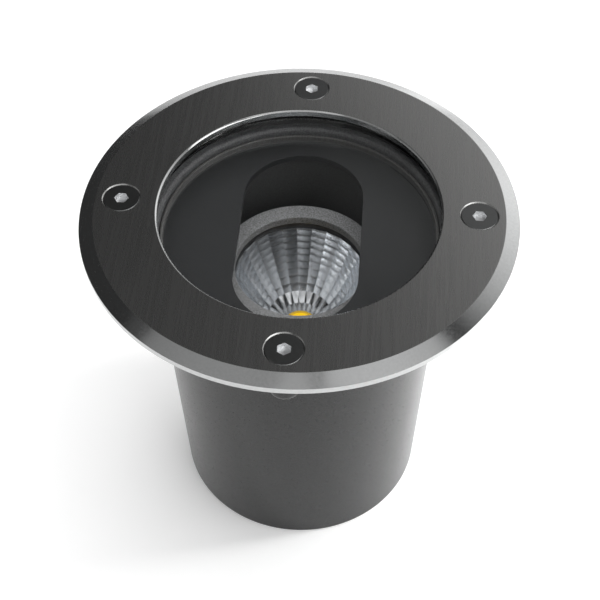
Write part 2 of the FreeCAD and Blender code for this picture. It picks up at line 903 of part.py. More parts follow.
def facet_corners(radius, z):
    """A corner at each boundary between columns, with one column facing +Y."""
    corners = []
    for angle in spread(facet_columns, 90.0 + 180.0 / facet_columns):
        x, y = polar(radius, angle)
        corners.append(Vector(x, y, z))
    return corners


def faceted_bowl(wall):
    """Solid bowl bounded by flat facets, larger than the cavity by a wall."""
    rings = [facet_corners(radius + wall, z) for radius, z in bowl_profile()]
    faces = [polygon(rings[0]), polygon(rings[-1])]
    for upper, lower in zip(rings, rings[1:]):
        for index in range(facet_columns):
            faces.append(polygon([upper[index - 1], upper[index], lower[index], lower[index - 1]]))
    return Part.makeSolid(Part.makeShell(faces))


def reflector():
    """Faceted bowl with a flange round its mouth."""
    outside = faceted_bowl(reflector_wall)
    cavity = faceted_bowl(0)
    flange_z = mouth_z - reflector_flange_thickness
    flange = disc(lamp_bore_radius - part_clearance, flange_z, reflector_flange_thickness)
    return fused([outside, flange]).cut(cavity)


def reflector_spacer():
    """Black ring between the barrel's face and the reflector's flange."""
    outer = lamp_bore_radius - part_clearance
    return tube(outer, outer - spacer_width, mouth_z, spacer_thickness)


def led_board():
    """Square board under the light source."""
    return block(board_side, board_side, board_thickness, 0, 0, board_top_z - board_thickness)


def led_phosphor():
    """Round light-emitting surface on the board."""
    return disc(phosphor_radius, board_top_z, phosphor_thickness)


def thermal_pad():
    """Pad between the board and the heat sink."""
    return block(board_side, board_side, pad_thickness, 0, 0, sink_top_z)


def holder_screw_places():
    """Centres of the holder's two screws."""
    return [polar(holder_screw_radius, angle) for angle in (0.0, 180.0)]


def led_holder():
    """Ring that clamps the board's corners."""
    height = pad_thickness + board_thickness + holder_rim_thickness
    body = disc(holder_radius, sink_top_z, height)
    side = board_side + 2 * part_clearance
    cuts = [
        disc(holder_opening_radius, sink_top_z, height),
        block(side, side, pad_thickness + board_thickness, 0, 0, sink_top_z),
    ]
    cuts += [clearance_hole(x, y, sink_top_z, height) for x, y in holder_screw_places()]
    return body.cut(Part.makeCompound(cuts))


def holder_screws():
    """Screws that hold the holder on the heat sink."""
    height = pad_thickness + board_thickness + holder_rim_thickness
    length = height + sink_base_thickness - hole_clearance
    return screws_at(holder_screw_places(), sink_top_z + height, length)


def heat_sink():
    """Disc with radial fins round a core."""
    base = disc(sink_radius, sink_base_z, sink_base_thickness)
    core = disc(sink_core_radius, sink_base_z - fin_length, fin_length)
    fin_start = sink_core_radius / 2
    fin_reach = sink_radius - fin_start - fin_thickness / 2
    fin = block(
        fin_reach, fin_thickness, fin_length, fin_start + fin_reach / 2, 0,
        sink_base_z - fin_length,
    )
    fins = [turned_about(fin, Vector(0, 0, 1), a) for a in spread(fin_count)]
    body = fused([base, core] + fins)
    holes = []
    for x, y in sink_screw_places():
        holes.append(clearance_hole(x, y, sink_base_z, sink_base_thickness))
    for x, y in holder_screw_places():
        holes.append(tapped_hole(x, y, sink_top_z, sink_base_thickness))
    return body.cut(Part.makeCompound(holes))


def heat_sink_screws():
    """Screws up through the heat sink into the barrel's bosses."""
    length = sink_base_thickness + sink_thread_depth - hole_clearance
    screw = turned_about(pan_screw(length), Vector(1, 0, 0), 180)
    return Part.makeCompound([moved(screw, x, y, sink_base_z) for x, y in sink_screw_places()])


def friction_washers():
    """Washers between the barrel's pads and the yoke."""
    inner = pivot_shoulder_radius + pivot_clearance
    ring = tube(friction_washer_radius, inner, 0, friction_washer_thickness)
    return both_sides(along_x(ring, pivot_pad_x))


def spring_washers():
    """Washers between the yoke and the pivot screws' heads."""
    inner = pivot_shoulder_radius + pivot_clearance
    ring = tube(spring_washer_radius, inner, 0, spring_washer_thickness)
    return both_sides(along_x(ring, yoke_outer_x))


def pivot_screws():
    """Shoulder screws that the lamp head tilts on."""
    shoulder_length = friction_washer_thickness + yoke_thickness + spring_washer_thickness
    head_z = shoulder_length
    shoulder = disc(pivot_shoulder_radius, 0, shoulder_length)
    top_z = head_z + pivot_head_height
    head = turned([
        (0, head_z, 0),
        (pivot_head_radius, head_z, 0),
        (pivot_head_radius, top_z - pivot_head_chamfer, 0),
        (pivot_head_radius - pivot_head_chamfer, top_z, 0),
        (0, top_z, 0),
    ])
    thread_length = lamp_wall + pivot_pad_height - hole_clearance
    thread = disc(pivot_thread_radius, -thread_length, thread_length)
    socket_z = top_z - pivot_socket_depth
    socket = hexagon(pivot_socket_flats, socket_z, pivot_socket_depth)
    screw = fused([shoulder, head, thread]).cut(socket)
    return both_sides(along_x(screw, pivot_pad_x))


# ---- Output ----

pieces = {
    "housing": housing(),
    "trim_ring": trim_ring(),
    "cover_screws": cover_screws(),
    "glass_lens": glass_lens(),
    "glass_gasket": glass_gasket(),
    "gland_body": gland_body(),
    "gland_washer": gland_washer(),
    "gland_seal": gland_seal(),
    "gland_cap": gland_cap(),
    "gear_tray": gear_tray(),
    "tray_screws": tray_screws(),
    "driver_case": driver_case(),
    "driver_lid": driver_lid(),
    "driver_screws": driver_screws(),
    "terminal_block": terminal_block(),
    "terminal_screws": terminal_screws(),
    "terminal_fixings": terminal_fixings(),
    "earth_washer": earth_washer(),
    "earth_screw": earth_screw(),
    "baffle_plate": baffle_plate(),
    "yoke_arm_right": yoke_arm(1),
    "yoke_arm_left": yoke_arm(-1),
    "yoke_washers": yoke_washers(),
    "yoke_nuts": yoke_nuts(),
    "lamp_barrel": lamp_barrel(),
    "reflector_spacer": reflector_spacer(),
    "reflector": reflector(),
    "led_board": led_board(),
    "led_phosphor": led_phosphor(),
    "thermal_pad": thermal_pad(),
    "led_holder": led_holder(),
    "holder_screws": holder_screws(),
    "heat_sink": heat_sink(),
    "heat_sink_screws": heat_sink_screws(),
    "friction_washers": friction_washers(),
    "spring_washers": spring_washers(),
    "pivot_screws": pivot_screws(),
}

os.makedirs("parts", exist_ok=True)
for name, shape in pieces.items():
    shape.exportStep(f"parts/{name}.step")
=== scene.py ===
import math

import bmesh
import bpy
from bpy.props import FloatProperty, FloatVectorProperty, IntProperty, PointerProperty
from bpy.types import Operator, Panel, PropertyGroup
from mathutils import Matrix, Vector


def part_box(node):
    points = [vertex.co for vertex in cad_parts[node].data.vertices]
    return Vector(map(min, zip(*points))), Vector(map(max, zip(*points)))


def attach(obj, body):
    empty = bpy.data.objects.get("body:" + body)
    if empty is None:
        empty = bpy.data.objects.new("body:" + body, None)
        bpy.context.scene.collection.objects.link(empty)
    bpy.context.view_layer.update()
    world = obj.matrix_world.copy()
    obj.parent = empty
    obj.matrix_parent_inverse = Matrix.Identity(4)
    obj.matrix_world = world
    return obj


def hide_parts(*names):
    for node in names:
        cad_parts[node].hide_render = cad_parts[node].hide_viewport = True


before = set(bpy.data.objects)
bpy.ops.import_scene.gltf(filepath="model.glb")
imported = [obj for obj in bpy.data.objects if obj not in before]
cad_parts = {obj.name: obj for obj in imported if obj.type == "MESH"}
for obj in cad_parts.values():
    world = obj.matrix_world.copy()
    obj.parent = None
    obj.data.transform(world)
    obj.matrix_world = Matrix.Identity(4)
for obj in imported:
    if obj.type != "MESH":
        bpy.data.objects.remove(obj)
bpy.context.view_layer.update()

bl_info = {
    "name": "In-ground Well Light",
    "version": (1, 0, 0),
    "blender": (4, 5, 0),
    "location": "3D View > Sidebar > Well Light",
    "description": "Builds the visible pieces of a recessed ground light and their finishes",
    "category": "Add Mesh",
}

MM = 0.001
# Sides of round shapes, from the ring down to a stud.
ROUND_STEPS = 192
MIDDLE_STEPS = 96
SCREW_STEPS = 64
SMALL_STEPS = 48
STUD_STEPS = 24
# Room round a thread or a shank, and a cutter's reach past the faces that it cuts.
FIT = 0.05 * MM
OVERCUT = MM

RING_LOW, RING_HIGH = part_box("trim_ring")
CAN_LOW, CAN_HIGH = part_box("housing")
GLASS_LOW, GLASS_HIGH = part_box("glass_lens")
GASKET_LOW, GASKET_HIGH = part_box("glass_gasket")
SCREWS_LOW, SCREWS_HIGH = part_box("cover_screws")
BAFFLE_LOW, BAFFLE_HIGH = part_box("baffle_plate")
_, YOKE_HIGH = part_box("yoke_arm_right")
PIVOT_LOW, PIVOT_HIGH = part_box("pivot_screws")
BARREL_LOW, BARREL_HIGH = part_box("lamp_barrel")
SPACER_LOW, SPACER_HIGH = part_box("reflector_spacer")
REFLECTOR_LOW, REFLECTOR_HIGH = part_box("reflector")
PHOSPHOR_LOW, PHOSPHOR_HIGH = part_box("led_phosphor")
WASHER_LOW, WASHER_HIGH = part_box("gland_washer")
GLAND_LOW, GLAND_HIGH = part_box("gland_body")
CAP_LOW, CAP_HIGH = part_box("gland_cap")
SEAL_LOW, SEAL_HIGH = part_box("gland_seal")
TRAY_LOW, TRAY_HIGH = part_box("gear_tray")


# ---- Sizes and colours ----


def linear(hex_colour):
    """Linear red, green and blue of an sRGB hex colour."""
    channels = []
    for start in (0, 2, 4):
        value = int(hex_colour[start:start + 2], 16) / 255
        channels.append(value / 12.92 if value <= 0.04045 else ((value + 0.055) / 1.055) ** 2.4)
    return tuple(channels)


def length(name, description, millimetres):
    """Property for one size of the light."""
    return FloatProperty(
        name=name, description=description, default=millimetres * MM, min=0.0, unit="LENGTH",
        precision=5,
    )


def colour(name, description, hex_colour):
    """Property for one colour of the light."""
    return FloatVectorProperty(
        name=name, description=description, default=linear(hex_colour), subtype="COLOR",
        size=3, min=0.0, max=1.0,
    )


class WellLightSizes(PropertyGroup):
    """Sizes of the visible pieces that the frame's boxes don't give"""

    edge_round: length("Edge rounding", "Rounding of worked metal edges", 0.12)
    ring_bore: length("Ring bore", "Radius of the trim ring's bore", 45.2)
    ring_bevel_width: length("Bevel width", "Width of the ring's outer bevel", 4.6)
    ring_bevel_drop: length("Bevel drop", "Height lost across the outer bevel", 2.07)
    bore_chamfer: length("Bore chamfer", "Width of the polished edge round the bore", 0.5)
    bore_chamfer_depth: length("Bore chamfer depth", "Height of that edge", 0.5)
    screw_circle: length("Screw circle", "Radius of the circle of cover screws", 57.05)
    screw_head: length("Screw head", "Radius of a cover screw's head", 5.9)
    screw_shank: length("Screw shank", "Radius of a cover screw's shank", 3.0)
    screw_socket: length("Socket", "Width across the flats of the screw's socket", 4.0)
    socket_depth: length("Socket depth", "Depth of the screw's socket", 1.6)
    shank_clearance: length("Shank clearance", "Room round a screw's shank", 0.3)
    head_clearance: length("Head clearance", "Room round a screw's head", 0.2)
    can_foot: length("Can foot", "Radius of the can at the ground", 44.01)
    can_top: length("Can top", "Radius of the can under its hub", 48.24)
    can_floor: length("Can floor", "Thickness of the can's floor", 4.0)
    well_floor: length("Well floor", "Inner radius of the can at its floor", 39.62)
    ledge_thickness: length("Ledge thickness", "Hub's underside to the glass seat", 4.0)
    hub_radius: length("Hub radius", "Radius of the hub round the glass", 56.0)
    flange_radius: length("Flange radius", "Radius of the flange under the ring", 62.0)
    flange_thickness: length("Flange thickness", "Thickness of that flange", 5.4)
    throat_radius: length("Throat radius", "Radius of the throat above the baffle", 45.6)
    throat_round: length("Throat rounding", "Radius of the ledge's inner edge", 1.5)
    shoulder_radius: length("Shoulder radius", "Inner radius of the baffle's seat", 43.6)
    boss_radius: length("Boss radius", "Radius of a screw boss", 5.3)
    boss_length: length("Boss length", "Length of a screw boss", 16.2)
    boss_round: length("Boss rounding", "Rounding of a screw boss's end", 3.0)
    web_thickness: length("Web thickness", "Thickness of a boss's web", 6.0)
    web_drop: length("Web drop", "Depth of a web below the hub", 4.8)
    gland_pad: length("Gland pad", "Radius of the pad round the cable gland", 12.5)
    gland_thread: length("Gland thread", "Radius of the cable gland's thread", 8.0)
    gland_bore: length("Gland bore", "Radius of the way through the gland", 4.6)
    gland_nose: length("Gland nose", "Radius of the end of the gland's cap", 7.5)
    gland_mouth: length("Gland mouth", "Radius of the mouth in the gland's cap", 5.0)
    gland_collar: length("Gland collar", "Length of the gland's collar", 4.0)
    post_radius: length("Post radius", "Radius of the posts under the tray", 4.0)
    post_edge: length("Post edge", "Distance of a post's middle from the tray's edge", 3.5)
    slot_width: length("Slot width", "Width of the baffle's slot", 40.0)
    slot_end_web: length("Slot end web", "Plate left between the slot and the rim", 6.96)
    baffle_rim: length("Baffle rim", "Thickness of the baffle's upright rim", 1.04)
    baffle_thickness: length("Baffle thickness", "Thickness of the baffle's plate", 2.3)
    stud_x: length("Stud X", "Distance of the baffle's studs from its middle", 35.35)
    stud_y: length("Stud Y", "Half of the spacing of a pair of studs", 5.5)
    stud_radius: length("Stud radius", "Radius of the baffle's studs", 1.5)
    lamp_radius: length("Lamp radius", "Radius of the lamp's barrel", 27.65)
    lamp_opening: length("Lamp opening", "Radius of the barrel's mouth", 21.8)
    lamp_bore: length("Lamp bore", "Radius of the barrel's bore", 24.0)
    lamp_face: length("Lamp face", "Thickness of the barrel's face ring", 3.1)
    pivot_pad: length("Pivot pad", "Radius of the barrel's pivot pads", 6.0)
    barrel_boss: length("Barrel boss", "Radius of the bosses in the barrel", 3.0)
    barrel_boss_height: length("Barrel boss height", "Height of those bosses", 12.0)
    reflector_mouth: length("Reflector mouth", "Radius of the corners of the mouth", 22.0)
    reflector_neck: length("Reflector neck", "Radius at the top of the neck", 7.3)
    reflector_bowl: length("Bowl depth", "Depth from the mouth to the neck", 23.1)
    reflector_wall: length("Reflector wall", "Thickness of the reflector's wall", 0.9)
    facet_crown: length("Facet crown", "Height of the bulge in a facet", 0.08)
    spacer_width: length("Spacer width", "Width of the black ring over the reflector", 1.3)
    gasket_lip: length("Gasket lip", "Width of the seal's lips over the glass", 1.8)
    facet_columns: IntProperty(
        name="Facet columns", description="Columns of facets round the reflector",
        default=26, min=8,
    )
    facet_rows: IntProperty(
        name="Facet rows", description="Rows of facets down the reflector", default=10, min=3
    )
    bowl_curve: FloatProperty(
        name="Bowl curve", description="Power of the bowl's curve: 2 is a parabola", default=1.64
    )


class WellLightColours(PropertyGroup):
    """Colours of the finishes"""

    ring_face: colour("Ring face", "Satin stainless steel", "aeaead")
    ring_edge: colour("Ring edge", "Polished stainless steel", "bcbdbd")
    screw_head: colour("Screw head", "Tumbled stainless steel", "7b7c7c")
    can_coat: colour("Can coating", "Powder coat on the can", "111212")
    baffle_coat: colour("Baffle coating", "Matt black on the baffle", "2b2c2d")
    lamp_coat: colour("Lamp coating", "Powder coat on the lamp head", "868788")
    reflector_silver: colour("Reflector", "Metallised reflector", "f2f5f8")
    phosphor_yellow: colour("Phosphor", "Light source with its lamp off", "e6b90c")
    floor_white: colour("Floor", "Studio floor", "fafafa")


def settings(context):
    """Sizes and colours of the scene."""
    return context.scene.well_light_sizes, context.scene.well_light_colours


# ---- Materials ----


def add_node(tree, kind, inputs=None, **values):
    """Node with its settings, input values and links."""
    node = tree.nodes.new(kind)
    for name, value in values.items():
        setattr(node, name, value)
    for name, value in (inputs or {}).items():
        if isinstance(value, bpy.types.NodeSocket):
            tree.links.new(value, node.inputs[name])
        else:
            node.inputs[name].default_value = value
    return node


def finish(name, metallic=0.0, ior=1.5):
    """New material of this name, with its node tree and its shader."""
    material = bpy.data.materials.new(name)
    material.use_nodes = True
    tree = material.node_tree
    shader = tree.nodes["Principled BSDF"]
    shader.inputs["Metallic"].default_value = metallic
    if metallic == 0:
        shader.inputs["IOR"].default_value = ior
    return material, tree, shader


def mottle(tree, grain, stretch=(1, 1, 1)):
    """Noise whose grain has this size in metres, stretched along the axes."""
    place = add_node(tree, "ShaderNodeTexCoord")
    scale = [1 / (grain * factor) for factor in stretch]
    mapping = add_node(
        tree, "ShaderNodeMapping", {"Vector": place.outputs["Object"], "Scale": scale}
    )
    noise = add_node(
        tree, "ShaderNodeTexNoise",
        {"Vector": mapping.outputs["Vector"], "Scale": 1.0, "Detail": 3.0},
    )
    return noise.outputs["Fac"]


def ranged(tree, factor, low, high):
    """Number that runs from low to high as a noise runs through its usual range."""
    span = add_node(
        tree, "ShaderNodeMapRange",
        {"Value": factor, "From Min": 0.3, "From Max": 0.7, "To Min": low, "To Max": high},
    )
    return span.outputs["Result"]


def tint(tree, shader, factor, rgb, contrast):
    """Base colour that varies about one colour by this share."""
    ramp = add_node(tree, "ShaderNodeValToRGB", {"Fac": factor})
    for element, place, share in zip(ramp.color_ramp.elements, (0.3, 0.7), (-contrast, contrast)):
        element.position = place
        element.color = [min(1.0, channel * (1 + share)) for channel in rgb] + [1.0]
    tree.links.new(ramp.outputs["Color"], shader.inputs["Base Color"])


def relief(tree, shader, height, depth):
    """Bump of this depth in metres."""
    bump = add_node(tree, "ShaderNodeBump", {"Height": height, "Distance": depth, "Strength": 1.0})
    tree.links.new(bump.outputs["Normal"], shader.inputs["Normal"])


def surface(
    name, rgb, grain, contrast, gloss, depth=0.0, metallic=0.0, ior=1.5, stretch=(1, 1, 1)
):
    """The material of this name, made once: one grain drives colour, roughness and relief.

    The colour is linear or sRGB hex, and the grain and the relief's depth are in millimetres.
    """
    made = bpy.data.materials.get(name)
    if made:
        return made
    made, tree, shader = finish(name, metallic, ior)
    grains = mottle(tree, grain * MM, stretch)
    rgb = linear(rgb) if isinstance(rgb, str) else rgb
    tint(tree, shader, grains, rgb, contrast)
    tree.links.new(ranged(tree, grains, *gloss), shader.inputs["Roughness"])
    if depth:
        relief(tree, shader, grains, depth * MM)
    return made


def satin_steel(colours):
    """Stainless sheet, brushed: fine lines along Y and a soft, dark shine."""
    # Lines drawn 0.6 mm apart: the real ones, near 0.1 mm, are too fine to show.
    return surface(
        "stainless_brushed", colours.ring_face, 0.6, 0.02, (0.26, 0.29),
        depth=0.0002, metallic=1.0, stretch=(1, 40, 1),
    )


def polished_steel(colours):
    """Stainless edge, turned: bright, with a faintly uneven polish."""
    # Drawn at 0.8 mm: real turning marks, near 0.1 mm, are too fine to show.
    return surface("stainless_turned", colours.ring_edge, 0.8, 0.04, (0.10, 0.16), metallic=1.0)


def screw_steel(colours):
    """Stainless screw, cold formed and tumbled: darker and duller than the ring."""
    # Dents drawn at 0.7 mm: the real ones, near 0.2 mm, are too fine to show.
    return surface(
        "stainless_tumbled", colours.screw_head, 0.7, 0.04, (0.28, 0.32),
        depth=0.0005, metallic=1.0,
    )


def socket_steel():
    """Stainless cut fresh by the broach, painted near white as a painted highlight: the bright
    heart of each screw.
    """
    # Drawn at 0.5 mm: the broach's own marks are too fine to show.
    return surface("stainless_broached_painted_highlight", "f2f3f4", 0.5, 0.04, (0.40, 0.48), metallic=1.0)


def can_paint(colours):
    """Epoxy powder coat on die-cast aluminium: a hard skin with fine orange peel."""
    # Drawn at 0.6 mm: the real peel, near 0.3 mm, is too fine to show.
    return surface(
        "powder_coat_dark_grey", colours.can_coat, 0.6, 0.20, (0.20, 0.30),
        depth=0.03, ior=1.40,
    )


def lamp_paint(colours):
    """Epoxy powder coat, lighter and coarser: it sparkles a little on the lamp's face."""
    # Drawn at 0.5 mm: the real grain, near 0.2 mm, is too fine to show.
    return surface("powder_coat_grey", colours.lamp_coat, 0.5, 0.45, (0.40, 0.55), depth=0.04)


def throat_paint():
    """The can's coat in the throat round the glass: pebbled, and painted much paler than outside
    as painted light where little light falls.
    """
    # Drawn at 0.5 mm: the real pebbles, near 0.2 mm, are too fine to show.
    return surface("powder_coat_pebbled_painted_light", "5c5d5e", 0.5, 0.45, (0.40, 0.55), depth=0.04)


def well_paint():
    """The can's coat on the walls of the well: painted paler than outside as painted light where
    little light falls.
    """
    # Drawn at 0.6 mm: the real grain, near 0.2 mm, is too fine to show.
    return surface("powder_coat_well_painted_light", "5a5b5b", 0.6, 0.15, (0.45, 0.55))


def rim_paint():
    """The baffle's enamel on its rim: smooth, satin and paler than the plate."""
    return surface("stove_enamel_grey", "5c5c5b", 1.0, 0.02, (0.30, 0.34))


def baffle_paint(colours):
    """Matt black stove enamel on sheet metal: even, with a very fine tooth."""
    # Drawn at 0.6 mm: the real tooth, near 0.05 mm, is too fine to show.
    return surface("stove_enamel_matt_black", colours.baffle_coat, 0.6, 0.05, (0.44, 0.48))


def silicone():
    """Moulded silicone rubber: near black, dull, with a faint bloom."""
    return surface("silicone_rubber", "1a1a1b", 2.0, 0.25, (0.60, 0.75), depth=0.01, ior=1.41)


def moulding(name, hex_colour):
    """Moulded thermoplastic: spark-eroded texture with a low sheen."""
    return surface(name, hex_colour, 0.7, 0.10, (0.42, 0.55), depth=0.02, ior=1.53)


def zinc_steel():
    """Zinc-plated steel: pale grey with a cloudy blue-white passivation."""
    return surface("zinc_plated_steel", "b4b8bc", 3.0, 0.10, (0.28, 0.40), metallic=1.0)


def brass():
    """Rolled brass, left bare: warm yellow with brown clouds."""
    return surface("brass_rolled", "c8a352", 2.0, 0.12, (0.25, 0.38), metallic=1.0)


def alumina():
    """Sintered ceramic board: chalk white with a fine, even grain."""
    return surface("alumina_sintered", "e6e4de", 0.8, 0.05, (0.50, 0.60), ior=1.76)


def filled_silicone():
    """Filled silicone sheet: soft grey with dusty specks."""
    return surface("silicone_filled_grey", "7d828a", 0.5, 0.18, (0.65, 0.80), ior=1.41)


def black_anodised():
    """Black anodised aluminium: deep grey with a dry metal shine."""
    return surface(
        "aluminium_anodised_black", "2b2b2d", 0.8, 0.15, (0.38, 0.50),
        depth=0.005, metallic=1.0,
    )


def metallised(colours):
    """Aluminium flashed on to a smooth plastic moulding: bright, with a slight haze."""
    return surface(
        "aluminium_metallised", colours.reflector_silver, 1.2, 0.02, (0.17, 0.20),
        metallic=1.0,
    )


def lit(made, rgb, strength):
    """The same material, given a glow of its own."""
    shader = made.node_tree.nodes["Principled BSDF"]
    shader.inputs["Emission Color"].default_value = (*rgb, 1)
    shader.inputs["Emission Strength"].default_value = strength
    return made


def phosphor(colours):
    """Phosphor in silicone resin: strong yellow and soft. It fluoresces, and a steady painted glow
    makes it brighter still.
    """
    rgb = colours.phosphor_yellow
    made = surface("phosphor_silicone_painted_glow", rgb, 0.5, 0.08, (0.35, 0.45), 0.01, ior=1.45)
    # Painted glow: an even emission on the phosphor, though its lamp is off.
    return lit(made, rgb, 0.85)


def dam():
    """Silicone dam round the resin: duller and browner than the resin, with a painted glow that
    lightens the shade it lies in.
    """
    rgb = linear("d8b136")
    made = surface("silicone_dam_cream_painted_glow", rgb, 0.6, 0.08, (0.40, 0.50), 0.01, ior=1.41)
    # Painted glow: an even emission that keeps the shaded dam from going dark.
    return lit(made, rgb, 0.45)


def clear_glass():
    """Toughened soda-lime glass: clear, seen only by the mirror of its faces."""
    made = bpy.data.materials.get("soda_lime_glass")
    if made:
        return made
    made, tree, shader = finish("soda_lime_glass", metallic=1.0)
    tint(tree, shader, mottle(tree, 30 * MM), linear("f3f5f4"), 0.01)
    shader.inputs["Roughness"].default_value = 0.02
    # Each face mirrors 4% head on, and more at a glance.
    slant = add_node(tree, "ShaderNodeLayerWeight", {"Blend": 0.5})
    glance = add_node(
        tree, "ShaderNodeMath", {0: slant.outputs["Facing"], 1: 5.0}, operation="POWER"
    )
    mirror = add_node(
        tree, "ShaderNodeMapRange",
        {"Value": glance.outputs["Value"], "To Min": 0.04, "To Max": 1.0},
    )
    tree.links.new(mirror.outputs["Result"], shader.inputs["Alpha"])
    return made


def light_table(colours):
    """Opal acrylic sheet, sanded and lit from below: an even, pale glow."""
    rgb = colours.floor_white
    made = surface("opal_acrylic_lit", rgb, 60, 0.01, (0.8, 0.9), ior=1.49)
    return lit(made, rgb, 0.14)


# ---- Mesh work ----


def spun(corners, steps, turn=0.0):
    """Bmesh swept round Z from (radius, z) corners. An outline off the axis is closed."""
    bm = bmesh.new()
    start = Matrix.Rotation(turn, 3, "Z")
    verts = [bm.verts.new(start @ Vector((radius, 0, z))) for radius, z in corners]
    edges = [bm.edges.new(pair) for pair in zip(verts, verts[1:])]
    if min(radius for radius, _ in corners) > 0:
        edges.append(bm.edges.new((verts[-1], verts[0])))
    bmesh.ops.spin(
        bm, geom=verts + edges, cent=(0, 0, 0), axis=(0, 0, 1), angle=math.tau, steps=steps,
        use_merge=True,
    )
    bmesh.ops.remove_doubles(bm, verts=bm.verts, dist=0.001 * MM)
    bmesh.ops.recalc_face_normals(bm, faces=bm.faces)
    return bm


def bevelled(bm, edges, width, segments):
    """Rounds these edges."""
    bmesh.ops.bevel(
        bm, geom=edges, offset=width, offset_type="OFFSET", affect="EDGES", segments=segments,
        profile=0.5, material=-1, clamp_overlap=True,
    )
    return bm


def rounded(bm, width, least_angle=25.0, segments=2):
    """Rounds every edge that turns by more than the least angle."""
    sharp = [edge for edge in bm.edges if edge.calc_face_angle(0.0) > math.radians(least_angle)]
    return bevelled(bm, sharp, width, segments)


def quarter(steps):
    """Sine and cosine at each step of a quarter turn."""
    angles = [math.pi / 2 * step / steps for step in range(steps + 1)]
    return [(math.sin(angle), math.cos(angle)) for angle in angles]


def prism(sides, radius, low_z, high_z):
    """Upright prism with its corners on a circle, one of them along X."""
    bm = bmesh.new()
    middle = shifted(z=(low_z + high_z) / 2)
    bmesh.ops.create_cone(
        bm, cap_ends=True, segments=sides, radius1=radius, radius2=radius,
        depth=high_z - low_z, matrix=middle @ Matrix.Rotation(math.pi / 2, 4, "Z"),
    )
    return bm


def rod(radius, low_z, high_z, steps=SMALL_STEPS):
    """Upright round bar on the Z axis."""
    return spun([(0, low_z), (radius, low_z), (radius, high_z), (0, high_z)], steps)


def trimmed_rod(radius, low_z, high_z, nip, steps):
    """Upright round bar with its edges turned off by this much."""
    return spun([
        (0, low_z), (radius - nip, low_z), (radius, low_z + nip), (radius, high_z - nip),
        (radius - nip, high_z), (0, high_z),
    ], steps)


def tube(inner, outer, low_z, high_z, steps):
    """Upright tube on the Z axis."""
    return spun([(inner, low_z), (outer, low_z), (outer, high_z), (inner, high_z)], steps)


def bored(bm, radius, low_z, high_z):
    """The bmesh with a round hole on the Z axis."""
    return combined(bm, rod(radius, low_z, high_z, SCREW_STEPS), "DIFFERENCE")


def brick(low, high):
    """Box between two corners."""
    bm = bmesh.new()
    bmesh.ops.create_cube(bm, size=1.0)
    bmesh.ops.scale(bm, vec=Vector(high) - Vector(low), verts=bm.verts)
    bmesh.ops.translate(bm, vec=(Vector(low) + Vector(high)) / 2, verts=bm.verts)
    return bm


def placed(bm, matrix):
    """The bmesh moved by a matrix."""
    bmesh.ops.transform(bm, matrix=matrix, verts=bm.verts)
    return bm


def joined(parts):
    """One bmesh that holds several, which are used up."""
    whole = bmesh.new()
    mesh = bpy.data.meshes.new("part")
    for part in parts:
        part.to_mesh(mesh)
        part.free()
        whole.from_mesh(mesh)
    bpy.data.meshes.remove(mesh)
    return whole


def copies(bm, matrices):
    """One bmesh with a copy at each matrix."""
    parts = [placed(bm.copy(), matrix) for matrix in matrices]
    bm.free()
    return joined(parts)


def turns(count, start=0.0):
    """Rotations that share out a full turn about Z, in radians."""
    return [Matrix.Rotation(start + math.tau * index / count, 4, "Z") for index in range(count)]


def shifted(x=0.0, y=0.0, z=0.0):
    """Matrix that moves a shape."""
    return Matrix.Translation((x, y, z))


def at_screws(bm, sizes):
    """One bmesh with a copy of the shape at each cover screw."""
    return copies(placed(bm, shifted(x=sizes.screw_circle)), turns(4))


def along_y(y, z):
    """Matrix that lays a shape on the Z axis along +Y."""
    return shifted(y=y, z=z) @ Matrix.Rotation(-math.pi / 2, 4, "X")


def linked(name, data):
    """Object that holds a mesh, a light or a camera, put in the scene."""
    made = bpy.data.objects.new(name, data)
    bpy.context.scene.collection.objects.link(made)
    return made


def loose_object(bm, name):
    """Object that holds the bmesh, which is used up."""
    mesh = bpy.data.meshes.new(name)
    bm.to_mesh(mesh)
    bm.free()
    return linked(name, mesh)


def combined(bm, tool, operation):
    """The bmesh cut by a tool, joined to it, or kept only inside it. Both are used up.

    The solver can lose a shape now and then, so the volume is checked and the work repeated.
    """
    tries = 8
    slack = 0.001
    volumes = bm.calc_volume(), tool.calc_volume()
    least, most = {
        "UNION": (max(volumes), sum(volumes)),
        "DIFFERENCE": (volumes[0] - volumes[1], volumes[0]),
        "INTERSECT": (0.0, min(volumes)),
    }[operation]
    body = loose_object(bm, "body_solid")
    other = loose_object(tool, "tool_solid")
    work = body.modifiers.new("work", "BOOLEAN")
    work.operation = operation
    work.solver = "EXACT"
    work.object = other
    for _ in range(tries):
        body.update_tag()
        bpy.context.view_layer.update()
        graph = bpy.context.evaluated_depsgraph_get()
        mesh = bpy.data.meshes.new_from_object(body.evaluated_get(graph))
        result = bmesh.new()
        result.from_mesh(mesh)
        bpy.data.meshes.remove(mesh)
        volume = result.calc_volume()
        sound = result.faces and least * (1 - slack) <= volume <= most * (1 + slack)
        if sound:
            break
    for used in (body, other):
        data = used.data
        bpy.data.objects.remove(used)
        bpy.data.meshes.remove(data)
    if not sound:
        raise RuntimeError("two shapes could not be put together")
    return result


def painted(bm, choice):
    """Gives each face the number of a material, chosen by its distance from Z and its height."""
    for face in bm.faces:
        middle = face.calc_center_median()
        face.material_index = int(choice(middle.xy.length, middle.z))


def piece(bm, name, body, materials, stands_for, sharp_angle=30.0):
    """Finished piece that rides on a body and stands for a CAD node."""
    for face in bm.faces:
        face.smooth = True
    for edge in bm.edges:
        if edge.calc_face_angle(math.pi) > math.radians(sharp_angle):
            edge.smooth = False
    made = loose_object(bm, name)
    for material in materials:
        made.data.materials.append(material)
    flats = made.modifiers.new("flat_faces", "WEIGHTED_NORMAL")
    flats.keep_sharp = True
    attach(made, body)
    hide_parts(stands_for)
    return made


# ---- Ring and screws ----


